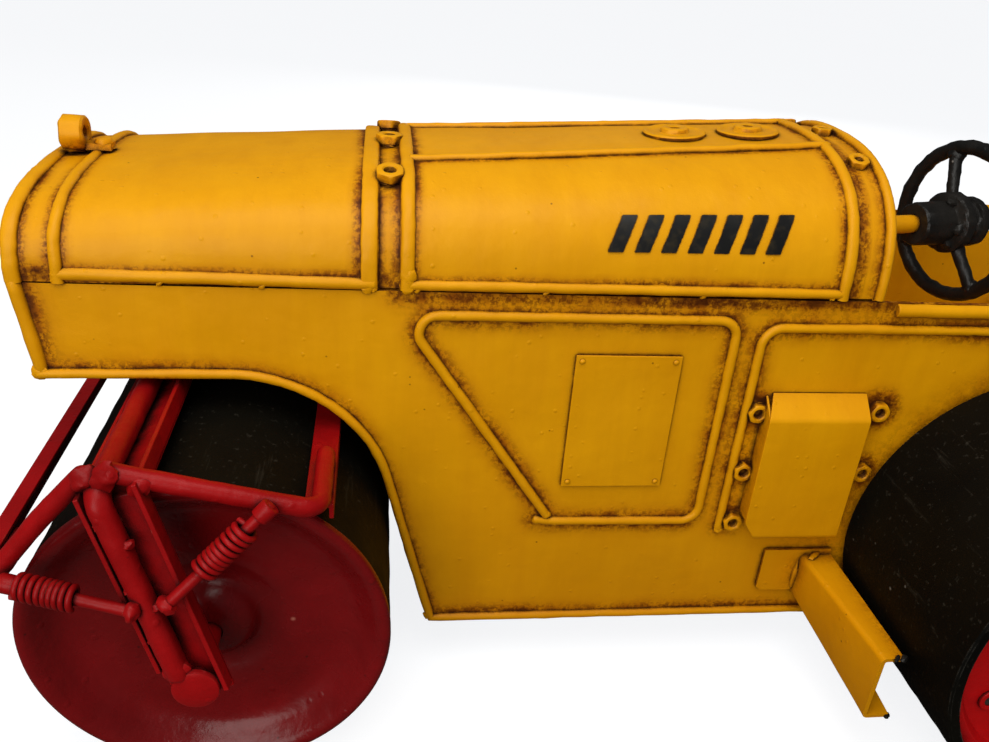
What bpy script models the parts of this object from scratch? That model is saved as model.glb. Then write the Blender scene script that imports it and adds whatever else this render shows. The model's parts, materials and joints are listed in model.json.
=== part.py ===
"""Toy road roller: a hand-made sheet-metal model of a three-roll road roller.

The front of the machine points along -X, its left side faces -Y, and +Z is up. The wheels
stand on z = 0. Sizes are millimetres in this file and become metres when a mesh is made.
X is counted from the joint between the two halves of the hood. The empty "datum" shifts the
whole machine so that the centre of its bounding box stands over the world's origin.
"""
import math

import bmesh
import bpy
from mathutils import Vector

MM = 0.001
GAP = 0.3                     # air between two touching pieces
SHEET = 1.2                   # thickness of the tin sheet
DATUM_SHIFT = -77.5           # world x of the hood joint

# body
HALF_WIDTH = 45.0             # outside of a side panel
INNER_HALF = HALF_WIDTH - SHEET - GAP
NOSE_X = -88.2                  # the nose leans forward from its foot
NOSE_FOOT_X = -85.2
NOSE_BOTTOM = 100.5
SEAM_Z = 125.0                # top of the side panels, foot of the hood
BODY_BOTTOM = 17.0
ARCH_START_X = -38.7          # the front wheel arch starts to bend down here
ARCH_RADIUS = 42.0
ARCH_TURN = math.radians(75)
ARCH_FOOT_X = 16.0
CAB_SLOPE_X = 220.0
REAR_X = 238.0
REAR_TOP = 108.0
FLOOR_Z = 60.0
BEAD = 1.1                    # radius of the soldered edge wires
SMALL_NUT = (5.5, 2.6, 1.5)   # across flats, height and bore radius
LARGE_NUT = (7.0, 2.4, 1.75)
SIDE_NUTS = ((106.5, 90.7), (106.1, 70.9), (106.4, 52.8), (143.0, 91.2), (143.2, 70.4))

# hood
HOOD_SPLIT = 4.9
HOOD_END = 125.0
BAND_END = 135.6
STRAP = 4.2
DECK_BEAD_Y = 19.3            # the two wires along the rear hood's deck
DECK_BEAD_END_Y = 15.4
FRONT_HOOD_SLOPE = 0.08
REAR_HOOD_SLOPE = 0.066
ARCH_STEPS = 22

# front roll and its fork
DRUM_X = -41.6
DRUM_RADIUS = 45.4
DRUM_HALF = 82.4
AXLE_RADIUS = 3.0
AXLE_CAP_Y = 97.0
FORK_LEAN = math.radians(17.3)   # the fork leans forward from the axle
FORK_RISE = 48.8              # from the axle to the underside of the cross channel
FORK_DROP = 5.0               # the legs end this far below the axle
LEG_TOP_Y = 87.0              # inner face of a leg, at the top and at the foot
LEG_FOOT_Y = 93.5
CHANNEL_WIDTH = 14.0
CHANNEL_DEPTH = 4.6
FLANGE_CUT = ((-60.0, 54.6), (-25.0, 39.9))   # the flanges stop above this slanted line
FORK_TUBE = 2.5
TUBE_ACROSS = -2.6            # the tube lies along the front flange
RAIL_Y = 86.4                 # scraper rails on each side of the roll
SCRAPER_HALF = 80.0
REAR_ROD = (Vector((-45.7, -97.6, 70.9)), Vector((-23.6, -90.9, 91.6)))
FRONT_ROD = (Vector((-53.3, -97.6, 69.2)), Vector((-82.0, -90.9, 71.8)))
KING_X = DRUM_X - FORK_RISE * math.sin(FORK_LEAN)
BEAM_Z = DRUM_RADIUS + FORK_RISE * math.cos(FORK_LEAN)

# rear rolls
REAR_AXLE_X = 195.0
REAR_RADIUS = 52.4
REAR_INNER_Y = 48.3
REAR_OUTER_Y = 108.0
REAR_AXLE_RADIUS = 4.0
REAR_HUB_END = 55.6           # length of a rear wheel's hub, from its inner end
TREAD_SHEET = 3.0

# steering wheel
WHEEL_CENTRE = Vector((181.5, 0.0, 134.3))
COLUMN_YAW = math.radians(12)
WHEEL_RADIUS = 23.0
SPINDLE_RADIUS = 2.4
FIREWALL_X = 132.4

YELLOW = (0.78, 0.36, 0.012)
RED = (0.34, 0.008, 0.012)
BLACK = (0.012, 0.012, 0.011)
TREAD = (0.02, 0.021, 0.017)


# ---------------------------------------------------------------- scene and materials
def clear_scene():
    for item in list(bpy.data.objects):
        bpy.data.objects.remove(item, do_unlink=True)


def paint(name, colour, roughness, metallic=0.0):
    mat = bpy.data.materials.new(name)
    mat.use_nodes = True
    shader = mat.node_tree.nodes["Principled BSDF"]
    shader.inputs["Base Color"].default_value = (*colour, 1.0)
    shader.inputs["Roughness"].default_value = roughness
    shader.inputs["Metallic"].default_value = metallic
    mat.diffuse_color = (*colour, 1.0)
    return mat


def empty(name, place=(0, 0, 0), parent=None, turn=(0, 0, 0)):
    item = bpy.data.objects.new(name, None)
    item.location = Vector(place) * MM
    item.rotation_euler = turn
    item.parent = parent
    bpy.context.collection.objects.link(item)
    return item


def add_object(name, shape, mat, parent, smooth=35.0):
    """Turn a bmesh in millimetres into a named object in metres."""
    bmesh.ops.scale(shape, vec=(MM, MM, MM), verts=shape.verts)
    bmesh.ops.recalc_face_normals(shape, faces=shape.faces)
    mesh = bpy.data.meshes.new(name)
    shape.to_mesh(mesh)
    shape.free()
    mesh.materials.append(mat)
    mesh.shade_smooth()
    mesh.set_sharp_from_angle(angle=math.radians(smooth))
    item = bpy.data.objects.new(name, mesh)
    item.parent = parent
    bpy.context.collection.objects.link(item)
    return item


# ---------------------------------------------------------------- shapes, as bmeshes
def from_rings(rings, closed_path=False):
    """Skin a list of equal point rings; the two ends are filled unless the path is closed."""
    shape = bmesh.new()
    grid = [[shape.verts.new(point) for point in ring] for ring in rings]
    count = len(rings[0])
    spans = len(grid) if closed_path else len(grid) - 1
    for i in range(spans):
        here = grid[i]
        there = grid[(i + 1) % len(grid)]
        for j in range(count):
            k = (j + 1) % count
            shape.faces.new((here[j], here[k], there[k], there[j]))
    if not closed_path:
        shape.faces.new(list(reversed(grid[0])))
        shape.faces.new(grid[-1])
    bmesh.ops.recalc_face_normals(shape, faces=shape.faces)
    return shape


def block(x_range, y_range, z_range):
    x_low, x_high = x_range
    y_low, y_high = y_range
    ring = [(x_low, y_low), (x_high, y_low), (x_high, y_high), (x_low, y_high)]
    return from_rings([[Vector((x, y, z)) for x, y in ring] for z in z_range])


def side_prism(outline, y_range):
    """Extrude an (x, z) outline along Y."""
    return from_rings([[Vector((x, y, z)) for x, z in outline] for y in y_range])


def cross_prism(outline, x_range):
    """Extrude a (y, z) outline along X."""
    return from_rings([[Vector((x, y, z)) for y, z in outline] for x in x_range])


def wire(path, radius, sides=8, closed=False):
    """Round rod along a path, mitred at each bend."""
    points = [Vector(p) for p in path]
    count = len(points)
    rings = []
    guide = None
    for i, point in enumerate(points):
        if closed:
            before = (point - points[i - 1]).normalized()
            after = (points[(i + 1) % count] - point).normalized()
        else:
            before = (point - points[i - 1]).normalized() if i else (points[1] - point).normalized()
            after = (points[i + 1] - point).normalized() if i < count - 1 else before
        tangent = (before + after).normalized()
        if guide is None:
            guide = tangent.orthogonal().normalized()
        across = (guide - tangent * guide.dot(before) / tangent.dot(before)).normalized()
        up = before.cross(across).normalized()
        across = up.cross(before).normalized()
        ring = []
        for j in range(sides):
            angle = 2 * math.pi * (j + 0.5) / sides
            offset = across * math.cos(angle) * radius + up * math.sin(angle) * radius
            offset -= before * (offset.dot(tangent) / before.dot(tangent))
            ring.append(point + offset)
        rings.append(ring)
        guide = across - after * across.dot(after)
    return from_rings(rings, closed_path=closed)


def rod(start, end, radius, sides=16):
    return wire([start, end], radius, sides)


def ring_wire(centre, axis, ring_radius, radius, steps=40, sides=8):
    axis = Vector(axis).normalized()
    side = axis.orthogonal().normalized()
    up = axis.cross(side)
    path = [Vector(centre) + side * math.cos(2 * math.pi * i / steps) * ring_radius
            + up * math.sin(2 * math.pi * i / steps) * ring_radius for i in range(steps)]
    return wire(path, radius, sides, closed=True)


def turned(profile, centre, axis, steps=40):
    """Lathe a closed (radius, height) outline around an axis. Radii must be above zero."""
    axis = Vector(axis).normalized()
    side = axis.orthogonal().normalized()
    up = axis.cross(side)
    rings = []
    for i in range(steps):
        angle = 2 * math.pi * i / steps
        out = side * math.cos(angle) + up * math.sin(angle)
        rings.append([Vector(centre) + out * r + axis * h for r, h in profile])
    return from_rings(rings, closed_path=True)


def hex_nut(place, normal, flats, height, bore):
    """Hexagon nut standing on a surface at place."""
    normal = Vector(normal).normalized()
    side = normal.orthogonal().normalized()
    up = normal.cross(side)
    steps = 6
    corner = flats / 2 / math.cos(math.pi / steps)
    hole = bore / math.cos(math.pi / steps)
    rings = []
    for reach, level in ((corner, 0), (corner, height), (hole, height), (hole, 0)):
        ring = []
        for i in range(steps):
            angle = 2 * math.pi * i / steps
            out = side * math.cos(angle) + up * math.sin(angle)
            ring.append(Vector(place) + out * reach + normal * level)
        rings.append(ring)
    return from_rings(rings, closed_path=True)


def mirrored(shape):
    """The same shape on the other side of the machine."""
    bmesh.ops.scale(shape, vec=(1, -1, 1), verts=shape.verts)
    bmesh.ops.recalc_face_normals(shape, faces=shape.faces)
    return shape


def plain_object(shape):
    bmesh.ops.recalc_face_normals(shape, faces=shape.faces)
    mesh = bpy.data.meshes.new("tool")
    shape.to_mesh(mesh)
    shape.free()
    item = bpy.data.objects.new("tool", mesh)
    bpy.context.collection.objects.link(item)
    return item


def combined(shape, tools, operation="UNION"):
    """Boolean each tool into or out of a shape, and give back the result as one bmesh."""
    base = plain_object(shape)
    cutters = [plain_object(tool) for tool in tools]
    for cutter in cutters:
        step = base.modifiers.new("join", "BOOLEAN")
        step.operation = operation
        step.object = cutter
    bpy.context.view_layer.update()
    ready = base.evaluated_get(bpy.context.evaluated_depsgraph_get())
    result = bmesh.new()
    result.from_mesh(ready.to_mesh())
    ready.to_mesh_clear()
    for item in [base, *cutters]:
        bpy.data.objects.remove(item, do_unlink=True)
    bmesh.ops.dissolve_degenerate(result, dist=0.0005, edges=result.edges)
    return result


def cut(shape, tools):
    return combined(shape, tools, "DIFFERENCE")


def rounded_corner(corner, before, after, radius, steps=4):
    """Points of an arc that replaces the corner of a polygon."""
    corner = Vector(corner)
    to_before = (Vector(before) - corner).normalized()
    to_after = (Vector(after) - corner).normalized()
    half = math.acos(max(-1.0, min(1.0, to_before.dot(to_after)))) / 2
    reach = radius / math.tan(half)
    centre = corner + (to_before + to_after).normalized() * (radius / math.sin(half))
    first = corner + to_before * reach - centre
    last = corner + to_after * reach - centre
    turn = math.pi - 2 * half
    points = []
    for i in range(steps + 1):
        share = i / steps
        mix = (first * math.sin((1 - share) * turn) + last * math.sin(share * turn)) / math.sin(turn)
        points.append(centre + mix)
    return points


def rounded_path(corners, radius, steps=4):
    """Open path with every inner corner rounded."""
    path = [Vector(corners[0])]
    for before, corner, after in zip(corners, corners[1:], corners[2:]):
        path.extend(rounded_corner(corner, before, after, radius, steps))
    path.append(Vector(corners[-1]))
    return path


# ---------------------------------------------------------------- hood cross-section
def hood_top(x):
    """Height of the hood's ridge."""
    if x < HOOD_SPLIT:
        return 151.6 + FRONT_HOOD_SLOPE * x
    return 151.9 + REAR_HOOD_SLOPE * x


def hood_power(x):
    """Squareness of the arch: the nose is squarer than the cab end."""
    share = (x - NOSE_FOOT_X) / (BAND_END - NOSE_FOOT_X)
    return 3.2 - 0.6 * share


def hood_section(x, inset=0.0, steps=ARCH_STEPS):
    """Arch over the body at x, from the left foot to the right foot."""
    half = HALF_WIDTH - inset
    rise = hood_top(x) - SEAM_Z - inset
    power = 2 / hood_power(x)
    points = []
    for i in range(steps + 1):
        angle = math.pi * i / steps
        c = math.cos(angle)
        y = -math.copysign(abs(c) ** power, c) * half
        z = SEAM_Z + GAP + abs(math.sin(angle)) ** power * (rise - GAP)
        points.append(Vector((x, y, z)))
    return points


def hood_point(x, share, lift=0.0):
    """Place and outward direction on the arch; share runs from 0 (left foot) to 1 (right foot)."""
    points = hood_section(x, -lift, 200)
    i = max(1, min(199, round(share * 200)))
    along = (points[i + 1] - points[i - 1]).normalized()
    outward = Vector((-1, 0, 0)).cross(along).normalized()
    if outward.z < 0:
        outward = -outward
    return points[i], outward


def arch_shell(x_start, x_end, inset=0.0, thickness=SHEET, stations=2):
    rings = []
    for i in range(stations):
        x = x_start + (x_end - x_start) * i / (stations - 1)
        rings.append(hood_section(x, inset) + list(reversed(hood_section(x, inset + thickness))))
    return from_rings(rings)


def arch_wire(x, radius, inset):
    path = hood_section(x, inset)
    path[0].z += 0.05
    path[-1].z += 0.05
    return wire(path, radius, 6)


def foot_wire(x_start, x_end, z_start, z_end, side, radius=1.0):
    y = side * (HALF_WIDTH + 0.2)
    return wire([(x_start, y, z_start), (x_end, y, z_end)], radius, 6)


# ---------------------------------------------------------------- body
def arch_outline():
    """Lower edge of a side panel around the front roll, from the nose to the bottom."""
    centre = Vector((ARCH_START_X, NOSE_BOTTOM - ARCH_RADIUS))
    steps = 9
    points = []
    for i in range(steps + 1):
        angle = ARCH_TURN * i / steps
        points.append((centre.x + ARCH_RADIUS * math.sin(angle), centre.y + ARCH_RADIUS * math.cos(angle)))
    points.append((13.4, 26.0))
    points.append((ARCH_FOOT_X, BODY_BOTTOM))
    return points


def side_panel():
    """Left side panel with its soldered wires, nuts and axle bearing."""
    arch = arch_outline()
    outline = [(NOSE_FOOT_X, NOSE_BOTTOM), *arch, (REAR_X, BODY_BOTTOM), (REAR_X, REAR_TOP),
               (CAB_SLOPE_X, SEAM_Z - 0.4), (NOSE_X, SEAM_Z)]
    face = -HALF_WIDTH
    sheet = side_prism(outline, (face, face + SHEET))
    skin = face - 0.25
    bearing = turned([(6.0, 0.4), (9.0, 0.4), (8.4, 2.6), (6.0, 2.6)],
                     (REAR_AXLE_X, face + 1.0, REAR_RADIUS), (0, -1, 0), 24)
    edge_path = [(NOSE_FOOT_X + 0.8, skin, NOSE_BOTTOM + 0.2), *[(x, skin, z) for x, z in arch],
                 (139.0, skin, BODY_BOTTOM)]
    nose_path = [(NOSE_FOOT_X + 0.5, skin, NOSE_BOTTOM + 1.9), (NOSE_X + 0.4, skin, SEAM_Z - 0.6)]
    # pressed panel behind the arch, drawn by a bent wire
    left_top, right_top = (5.7, 118.6), (95.8, 118.6)
    right_foot, left_foot = (95.3, 52.6), (50.6, 53.0)
    corners = [(47.6, 58.2), left_top, right_top, right_foot, left_foot, (46.6, 53.6)]
    frame_path = [(x, skin, z) for x, z in rounded_path([Vector(c) for c in corners], 5.0, 3)]
    # second pressed panel, open behind the rear roll
    second = [(102.8, 50.0), (103.4, 116.7), (190.0, 117.0)]
    second_path = [(x, skin, z) for x, z in rounded_path([Vector(c) for c in second], 5.0, 3)]
    cab_path = [(139.6, face - 0.3, 122.6), (CAB_SLOPE_X, face - 0.3, 122.6)]
    tools = [wire(edge_path, BEAD, 6), wire(nose_path, BEAD, 6), wire(frame_path, BEAD, 6),
             wire(second_path, BEAD, 6), wire(cab_path, 1.9, 8), bearing]
    for x, z in SIDE_NUTS:
        tools.append(hex_nut((x, face + 0.4, z), (0, -1, 0), *SMALL_NUT))
    panel = combined(sheet, tools)
    axle_hole = rod((REAR_AXLE_X, face - 6, REAR_RADIUS), (REAR_AXLE_X, face + 6, REAR_RADIUS),
                    REAR_AXLE_RADIUS + GAP, 24)
    return cut(panel, [axle_hole])


def access_plate():
    """Thin plate in the middle of the framed panel, with a rivet in each corner."""
    face = -HALF_WIDTH - GAP
    left, right, low, high = 52.3, 81.8, 65.8, 108.0
    inset = 1.75
    plate = block((left, right), (face - 0.7, face), (low, high))
    rivets = [rod((x, face - 1.1, z), (x, face - 0.3, z), 0.7, 8)
              for x in (left + inset, right - inset) for z in (low + inset, high - inset)]
    return combined(plate, rivets)


def box_cover():
    """Folded cover on the side: sloping top, front, foot and rear cheek; its lower corner is cut off."""
    back = -HALF_WIDTH - GAP
    front = back - 6.3
    t = 1.1
    left, right, low, high, fold = 108.0, 138.0, 49.4, 96.9, 91.3
    sheet = [(back, high), (front, fold), (front, low), (back, low), (back, low + t),
             (front + t, low + t), (front + t, fold - 0.6), (back, high - t * 1.4)]
    cover = cross_prism(sheet, (left, right))
    inside = [(back - 0.1, low + 0.1), (front + 0.5, low + 0.1), (front + 0.5, fold - 0.4),
              (back - 0.1, high - 0.8)]
    cheeks = [cross_prism(inside, (right - t, right - 0.1)), cross_prism(inside, (left + 2.1, left + 3.2))]
    corner = side_prism([(left - 1, low - 1), (left + 4.4, low - 1), (left - 1, low + 6.4)],
                        (front - 1, back + 1))
    return cut(combined(cover, cheeks), [corner])


def step():
    """Channel-section step sticking out of the left side, on a tab."""
    root = -HALF_WIDTH - GAP
    tip = root - 45.0
    t = 1.2

    def section(y, web, top_end, foot_end, low, high):
        return [Vector((x, y, z)) for x, z in (
            (web, low), (foot_end, low), (foot_end, low + t), (web + t, low + t),
            (web + t, high - t), (top_end, high - t), (top_end, high), (web, high))]

    channel = from_rings([section(root, 131.4, 141.4, 141.4, 24.4, 39.8),
                          section(tip, 135.6, 142.0, 143.4, 17.4, 39.8)])
    tab = side_prism([(119.6, 27.0), (121.0, 25.8), (140.6, 25.8), (140.6, 41.6), (119.6, 41.6)],
                     (root - 1.0, root))
    return combined(channel, [tab])


def closing_outline(arch, bottom):
    """Outline of a plate that fills the body: between the side panels below, under the hood above."""
    shoulder = SEAM_Z - 0.6
    waist = -arch[0][0] - 0.1
    return [(-INNER_HALF, bottom), (-INNER_HALF, shoulder), (-waist, shoulder), *arch[1:-1],
            (waist, shoulder), (INNER_HALF, shoulder), (INNER_HALF, bottom)]


def nose_panel():
    """Radiator panel that closes the nose, with upright grille bars."""
    arch = [(p.y, p.z) for p in hood_section(NOSE_FOOT_X + 2, 1.9)]
    outline = closing_outline(arch, NOSE_BOTTOM)
    plate = cross_prism(outline, (NOSE_FOOT_X + 2.0, NOSE_FOOT_X + 3.2))
    bars = [block((NOSE_FOOT_X + 0.9, NOSE_FOOT_X + 2.5), (y - 0.8, y + 0.8), (NOSE_BOTTOM + 5, SEAM_Z + 13))
            for y in range(-32, 33, 8)]
    rail = block((NOSE_FOOT_X + 0.5, NOSE_FOOT_X + 2.5), (-36, 36), (SEAM_Z + 11, SEAM_Z + 13.4))
    sill = block((NOSE_FOOT_X + 0.5, NOSE_FOOT_X + 2.5), (-36, 36), (NOSE_BOTTOM + 4, NOSE_BOTTOM + 6.4))
    return combined(plate, [*bars, rail, sill])


def hood_front():
    """Front half of the hood, with its end wires, foot wires and joint strap."""
    shell = arch_shell(NOSE_X, -GAP, stations=3)
    tools = [arch_wire(NOSE_X + 0.9, 1.3, -0.2), arch_wire(-76.4, BEAD, -0.25),
             arch_shell(-0.5 - STRAP, -0.5, -0.8, 1.5)]
    for side in (-1, 1):
        tools.append(foot_wire(-76.6, -3.0, 127.9, 126.6, side))
    return combined(shell, tools)


def hood_joint_strip():
    """Sunken strip between the hood halves, with three raised nuts."""
    strip = arch_shell(0.1, HOOD_SPLIT - GAP, 1.0)
    tools = []
    for share in (0.335, 0.5, 0.665):
        place, outward = hood_point(2.3, share, lift=1.5)
        tools.append(rod(place - outward * 2.8, place + outward * 0.7, 2.4, 8))
        tools.append(hex_nut(place, outward, *LARGE_NUT))
    return combined(strip, tools)


def hood_rear():
    """Rear half of the hood, with a wire on each side of its flat deck."""
    shell = arch_shell(HOOD_SPLIT, HOOD_END, stations=3)
    tools = [arch_shell(HOOD_SPLIT + 0.2, HOOD_SPLIT + STRAP, -0.8, 1.5),
             arch_wire(HOOD_END - 1.4, BEAD, -0.25)]
    for side in (-1, 1):
        tools.append(foot_wire(7.0, HOOD_END - 1.5, 126.7, 126.9, side, 1.2))
        deck = []
        for x in (HOOD_SPLIT + 2, 60.0, HOOD_END - 1.6):
            share = (x - HOOD_SPLIT) / (HOOD_END - HOOD_SPLIT)
            y = side * (DECK_BEAD_Y + (DECK_BEAD_END_Y - DECK_BEAD_Y) * share)
            deck.append(min(hood_section(x, -0.25, 200), key=lambda p: abs(p.y - y)))
        tools.append(wire(deck, BEAD, 6))
    return combined(shell, tools)


def hood_end_band():
    """Band around the cab end of the hood, with three nuts."""
    band = arch_shell(HOOD_END + GAP, BAND_END, 0.8)
    tools = [arch_wire(BAND_END - 1.3, 1.5, 0.3)]
    for share in (0.35, 0.5, 0.65):
        place, outward = hood_point(HOOD_END + 3.6, share, lift=-1.0)
        tools.append(hex_nut(place, outward, *SMALL_NUT))
    return combined(band, tools)


def firewall():
    """Plate between the engine room and the cab."""
    arch = [(p.y, p.z) for p in hood_section(FIREWALL_X, 2.5)]
    return cross_prism(closing_outline(arch, BODY_BOTTOM + 2.6), (FIREWALL_X, FIREWALL_X + SHEET))


def lifting_eye():
    """Thick ring on edge with its foot, on top of the nose."""
    eye_x = NOSE_X + 6.0
    top = hood_top(eye_x + 3) + GAP
    ring = turned([(2.2, -3.0), (4.4, -3.0), (4.9, -2.4), (4.9, 2.4), (4.4, 3.0), (2.2, 3.0)],
                  (eye_x, 0, top + 4.9), (1, 0, 0), 16)
    foot = block((eye_x, -72.6), (-2.4, 2.4), (top + 1.7, top + 2.9))
    knob = rod((-75.0, 0, top + 1.9), (-75.0, 0, top + 4.0), 2.1, 12)
    return combined(ring, [foot, knob])


def deck_cap(x):
    """Filler cap on the rear deck: flat disc with a small drilled boss."""
    profile = [(1.4, 0), (8.8, 0), (8.8, 0.5), (8.3, 0.8), (3.8, 0.8), (3.5, 1.9), (1.4, 1.9)]
    slope = math.atan(REAR_HOOD_SLOPE)
    axis = (-math.sin(slope), 0, math.cos(slope))
    return turned(profile, (x, 0, hood_top(x) + 0.4), axis, 24)


def handrail():
    """Grab rail behind the left side of the cab."""
    y = -HALF_WIDTH + 0.6
    top, foot, back = 126.4, 96.0, 245.0
    corners = [(CAB_SLOPE_X - 1.5, y, top), (back, y, top), (back, y, foot), (REAR_X + 1.8, y, foot)]
    return wire(rounded_path(corners, 5.0, 3), 1.5, 8)


def seat():
    """Pressed seat pan with a curved back."""
    t = 1.6
    half = 17.0
    corners = [Vector((203.0, 88.0)), Vector((222.0, 85.4)), Vector((230.0, 92.0)), Vector((233.0, 110.0))]
    under = rounded_path(corners, 6.0, 4)
    upper = []
    for i, point in enumerate(under):
        ahead = under[min(i + 1, len(under) - 1)] - under[max(i - 1, 0)]
        upper.append(point + Vector((-ahead.y, ahead.x)).normalized() * t)
    return side_prism([(p.x, p.y) for p in under + upper[::-1]], (-half, half))


# ---------------------------------------------------------------- running gear
def rear_roll():
    """Tread tube of the left rear roll."""
    r = REAR_RADIUS
    width = REAR_OUTER_Y - REAR_INNER_Y
    edge = 0.6
    profile = [(r - TREAD_SHEET, 0), (r - edge, 0), (r, edge), (r, width - edge), (r - edge, width),
               (r - TREAD_SHEET, width)]
    return turned(profile, (0, -REAR_INNER_Y, 0), (0, -1, 0), 48)


def rear_wheel_centre():
    """Two pressed discs on a hub tube inside the left rear roll."""
    rim = REAR_RADIUS - TREAD_SHEET - GAP
    bore = REAR_AXLE_RADIUS + GAP
    hub = 9.0
    inner_disc = [(bore, 0.2), (hub, 0.2), (hub, 5.0), (rim, 5.0), (rim, 6.6), (hub, 6.6)]
    outer_disc = [(hub, 50.0), (rim - 4, 50.0), (rim - 2.4, 53.0), (rim, 53.0), (rim, 54.6),
                  (rim - 3.4, 54.6), (rim - 5, 51.6), (16.0, 51.6), (14.0, 53.0)]
    profile = [*inner_disc, *outer_disc, (hub, REAR_HUB_END - 0.2), (bore, REAR_HUB_END)]
    return turned(profile, (0, -REAR_INNER_Y, 0), (0, -1, 0), 36)


def rear_axle():
    end_y = REAR_OUTER_Y + 1.5
    return rod((REAR_AXLE_X, -end_y, REAR_RADIUS), (REAR_AXLE_X, end_y, REAR_RADIUS), REAR_AXLE_RADIUS, 24)


def rear_axle_nut():
    """Nut that keeps the left rear wheel on the axle."""
    place = (REAR_AXLE_X, -(REAR_INNER_Y + REAR_HUB_END + GAP), REAR_RADIUS)
    return hex_nut(place, (0, -1, 0), 13.0, 4.4, REAR_AXLE_RADIUS + GAP)


def drum_shell():
    """Tread tube of the front roll."""
    half = DRUM_HALF - 2.8
    r = DRUM_RADIUS - 0.2
    edge = 0.4
    profile = [(r - TREAD_SHEET, -half), (r - edge, -half), (r, edge - half), (r, half - edge),
               (r - edge, half), (r - TREAD_SHEET, half)]
    return turned(profile, (0, 0, 0), (0, 1, 0), 48)


def drum_disc():
    """Pressed left end of the front roll: rolled rim, hollow face and domed hub."""
    outer = DRUM_RADIUS
    edge = DRUM_HALF - 2.5
    bore = AXLE_RADIUS + GAP
    inner = DRUM_RADIUS - TREAD_SHEET - 0.5
    back = DRUM_HALF - 8.4
    rim = [(inner, edge), (outer, edge), (outer, edge + 1.7), (outer - 0.8, DRUM_HALF),
           (outer - 4.5, DRUM_HALF), (outer - 9.0, DRUM_HALF - 3.2)]
    face = [(27.0, DRUM_HALF - 6.0), (11.0, DRUM_HALF - 6.7), (8.6, DRUM_HALF - 5.6),
            (6.4, DRUM_HALF - 3.8), (bore, DRUM_HALF - 3.0)]
    profile = [(bore, back), (inner, back), *rim, *face]
    return turned(profile, (0, 0, 0), (0, -1, 0), 36)


def front_axle():
    end_y = AXLE_CAP_Y - GAP
    return rod((DRUM_X, -end_y, DRUM_RADIUS), (DRUM_X, end_y, DRUM_RADIUS), AXLE_RADIUS, 20)


def axle_cap():
    """Disc over the left end of the front axle."""
    return rod((DRUM_X, -AXLE_CAP_Y, DRUM_RADIUS), (DRUM_X, -AXLE_CAP_Y - 1.6, DRUM_RADIUS), 5.6, 24)


def fork_point(y, rise, across=0.0):
    """Point of the fork's leaning plane; rise is measured from the axle, across to its rear side."""
    lean = FORK_LEAN
    x = DRUM_X - rise * math.sin(lean) + across * math.cos(lean)
    z = DRUM_RADIUS + rise * math.cos(lean) + across * math.sin(lean)
    return Vector((x, y, z))


def fork_line(lift):
    """Foot and top corner (y, rise) of the left half of the fork, lifted off its inner face."""
    top = Vector((LEG_TOP_Y, FORK_RISE))
    foot = Vector((LEG_FOOT_Y, -FORK_DROP))
    down = (foot - top).normalized()
    side = Vector((-down.y, down.x))
    slope = down.x / down.y
    foot_lifted = foot + side * lift
    corner_y = foot_lifted.x + slope * (FORK_RISE + lift - foot_lifted.y)
    return foot_lifted, Vector((corner_y, FORK_RISE + lift))


def yoke():
    """Fork over the front roll: one bent U-channel with a boss for the king pin."""
    half = CHANNEL_WIDTH / 2
    t = SHEET
    deep = CHANNEL_DEPTH
    section = [(-half, 0), (half, 0), (half, deep), (half - t, deep), (half - t, t),
               (t - half, t), (t - half, deep), (-half, deep)]
    rings = [[], [], [], []]
    for across, lift in section:
        foot, corner = fork_line(lift)
        rings[0].append(fork_point(-foot.x, foot.y, across))
        rings[1].append(fork_point(-corner.x, corner.y, across))
        rings[2].append(fork_point(corner.x, corner.y, across))
        rings[3].append(fork_point(foot.x, foot.y, across))
    boss = rod((KING_X, 0, BEAM_Z - 0.4), (KING_X, 0, NOSE_BOTTOM - 0.1), 7.0, 20)
    body = combined(from_rings(rings), [boss])
    pin_hole = rod((KING_X, 0, BEAM_Z - 8), (KING_X, 0, NOSE_BOTTOM + 5), AXLE_RADIUS + GAP, 20)
    axle_hole = rod((DRUM_X, -120, DRUM_RADIUS), (DRUM_X, 120, DRUM_RADIUS), AXLE_RADIUS + GAP, 20)
    below = [*FLANGE_CUT, (FLANGE_CUT[1][0], 20.0), (FLANGE_CUT[0][0], 20.0)]
    trims = [side_prism(below, span) for span in ((-120.0, -95.2), (95.2, 120.0))]
    return cut(body, [pin_hole, axle_hole, *trims])


def fork_tube():
    """Round tube that lies in the left half of the cross channel and in the left leg."""
    lift = SHEET + GAP + FORK_TUBE
    foot, corner = fork_line(lift)
    share = (9.0 - foot.y) / (corner.y - foot.y)
    low = foot.lerp(corner, share)
    stops = [(-9.5, corner.y), (-corner.x, corner.y), (-low.x, low.y)]
    path = [fork_point(y, rise, TUBE_ACROSS) for y, rise in stops]
    return wire(rounded_path(path, 3.8, 4), FORK_TUBE, 12)


def king_pin():
    """Headed pin on which the fork swings."""
    shank = rod((KING_X, 0, 90.0), (KING_X, 0, 112.0), AXLE_RADIUS, 20)
    head = rod((KING_X, 0, 89.8), (KING_X, 0, 90.5), 3.6, 20)
    return combined(shank, [head])


def king_pin_bracket():
    """Plate between the side panels that carries the king pin."""
    plate = block((-76.0, -42.0), (-INNER_HALF, INNER_HALF), (NOSE_BOTTOM + 0.3, NOSE_BOTTOM + 1.7))
    tube = rod((KING_X, 0, NOSE_BOTTOM + 1.0), (KING_X, 0, 105.6), 7.0, 20)
    hole = rod((KING_X, 0, 90), (KING_X, 0, 120), AXLE_RADIUS + GAP, 20)
    return cut(combined(plate, [tube]), [hole])


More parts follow.
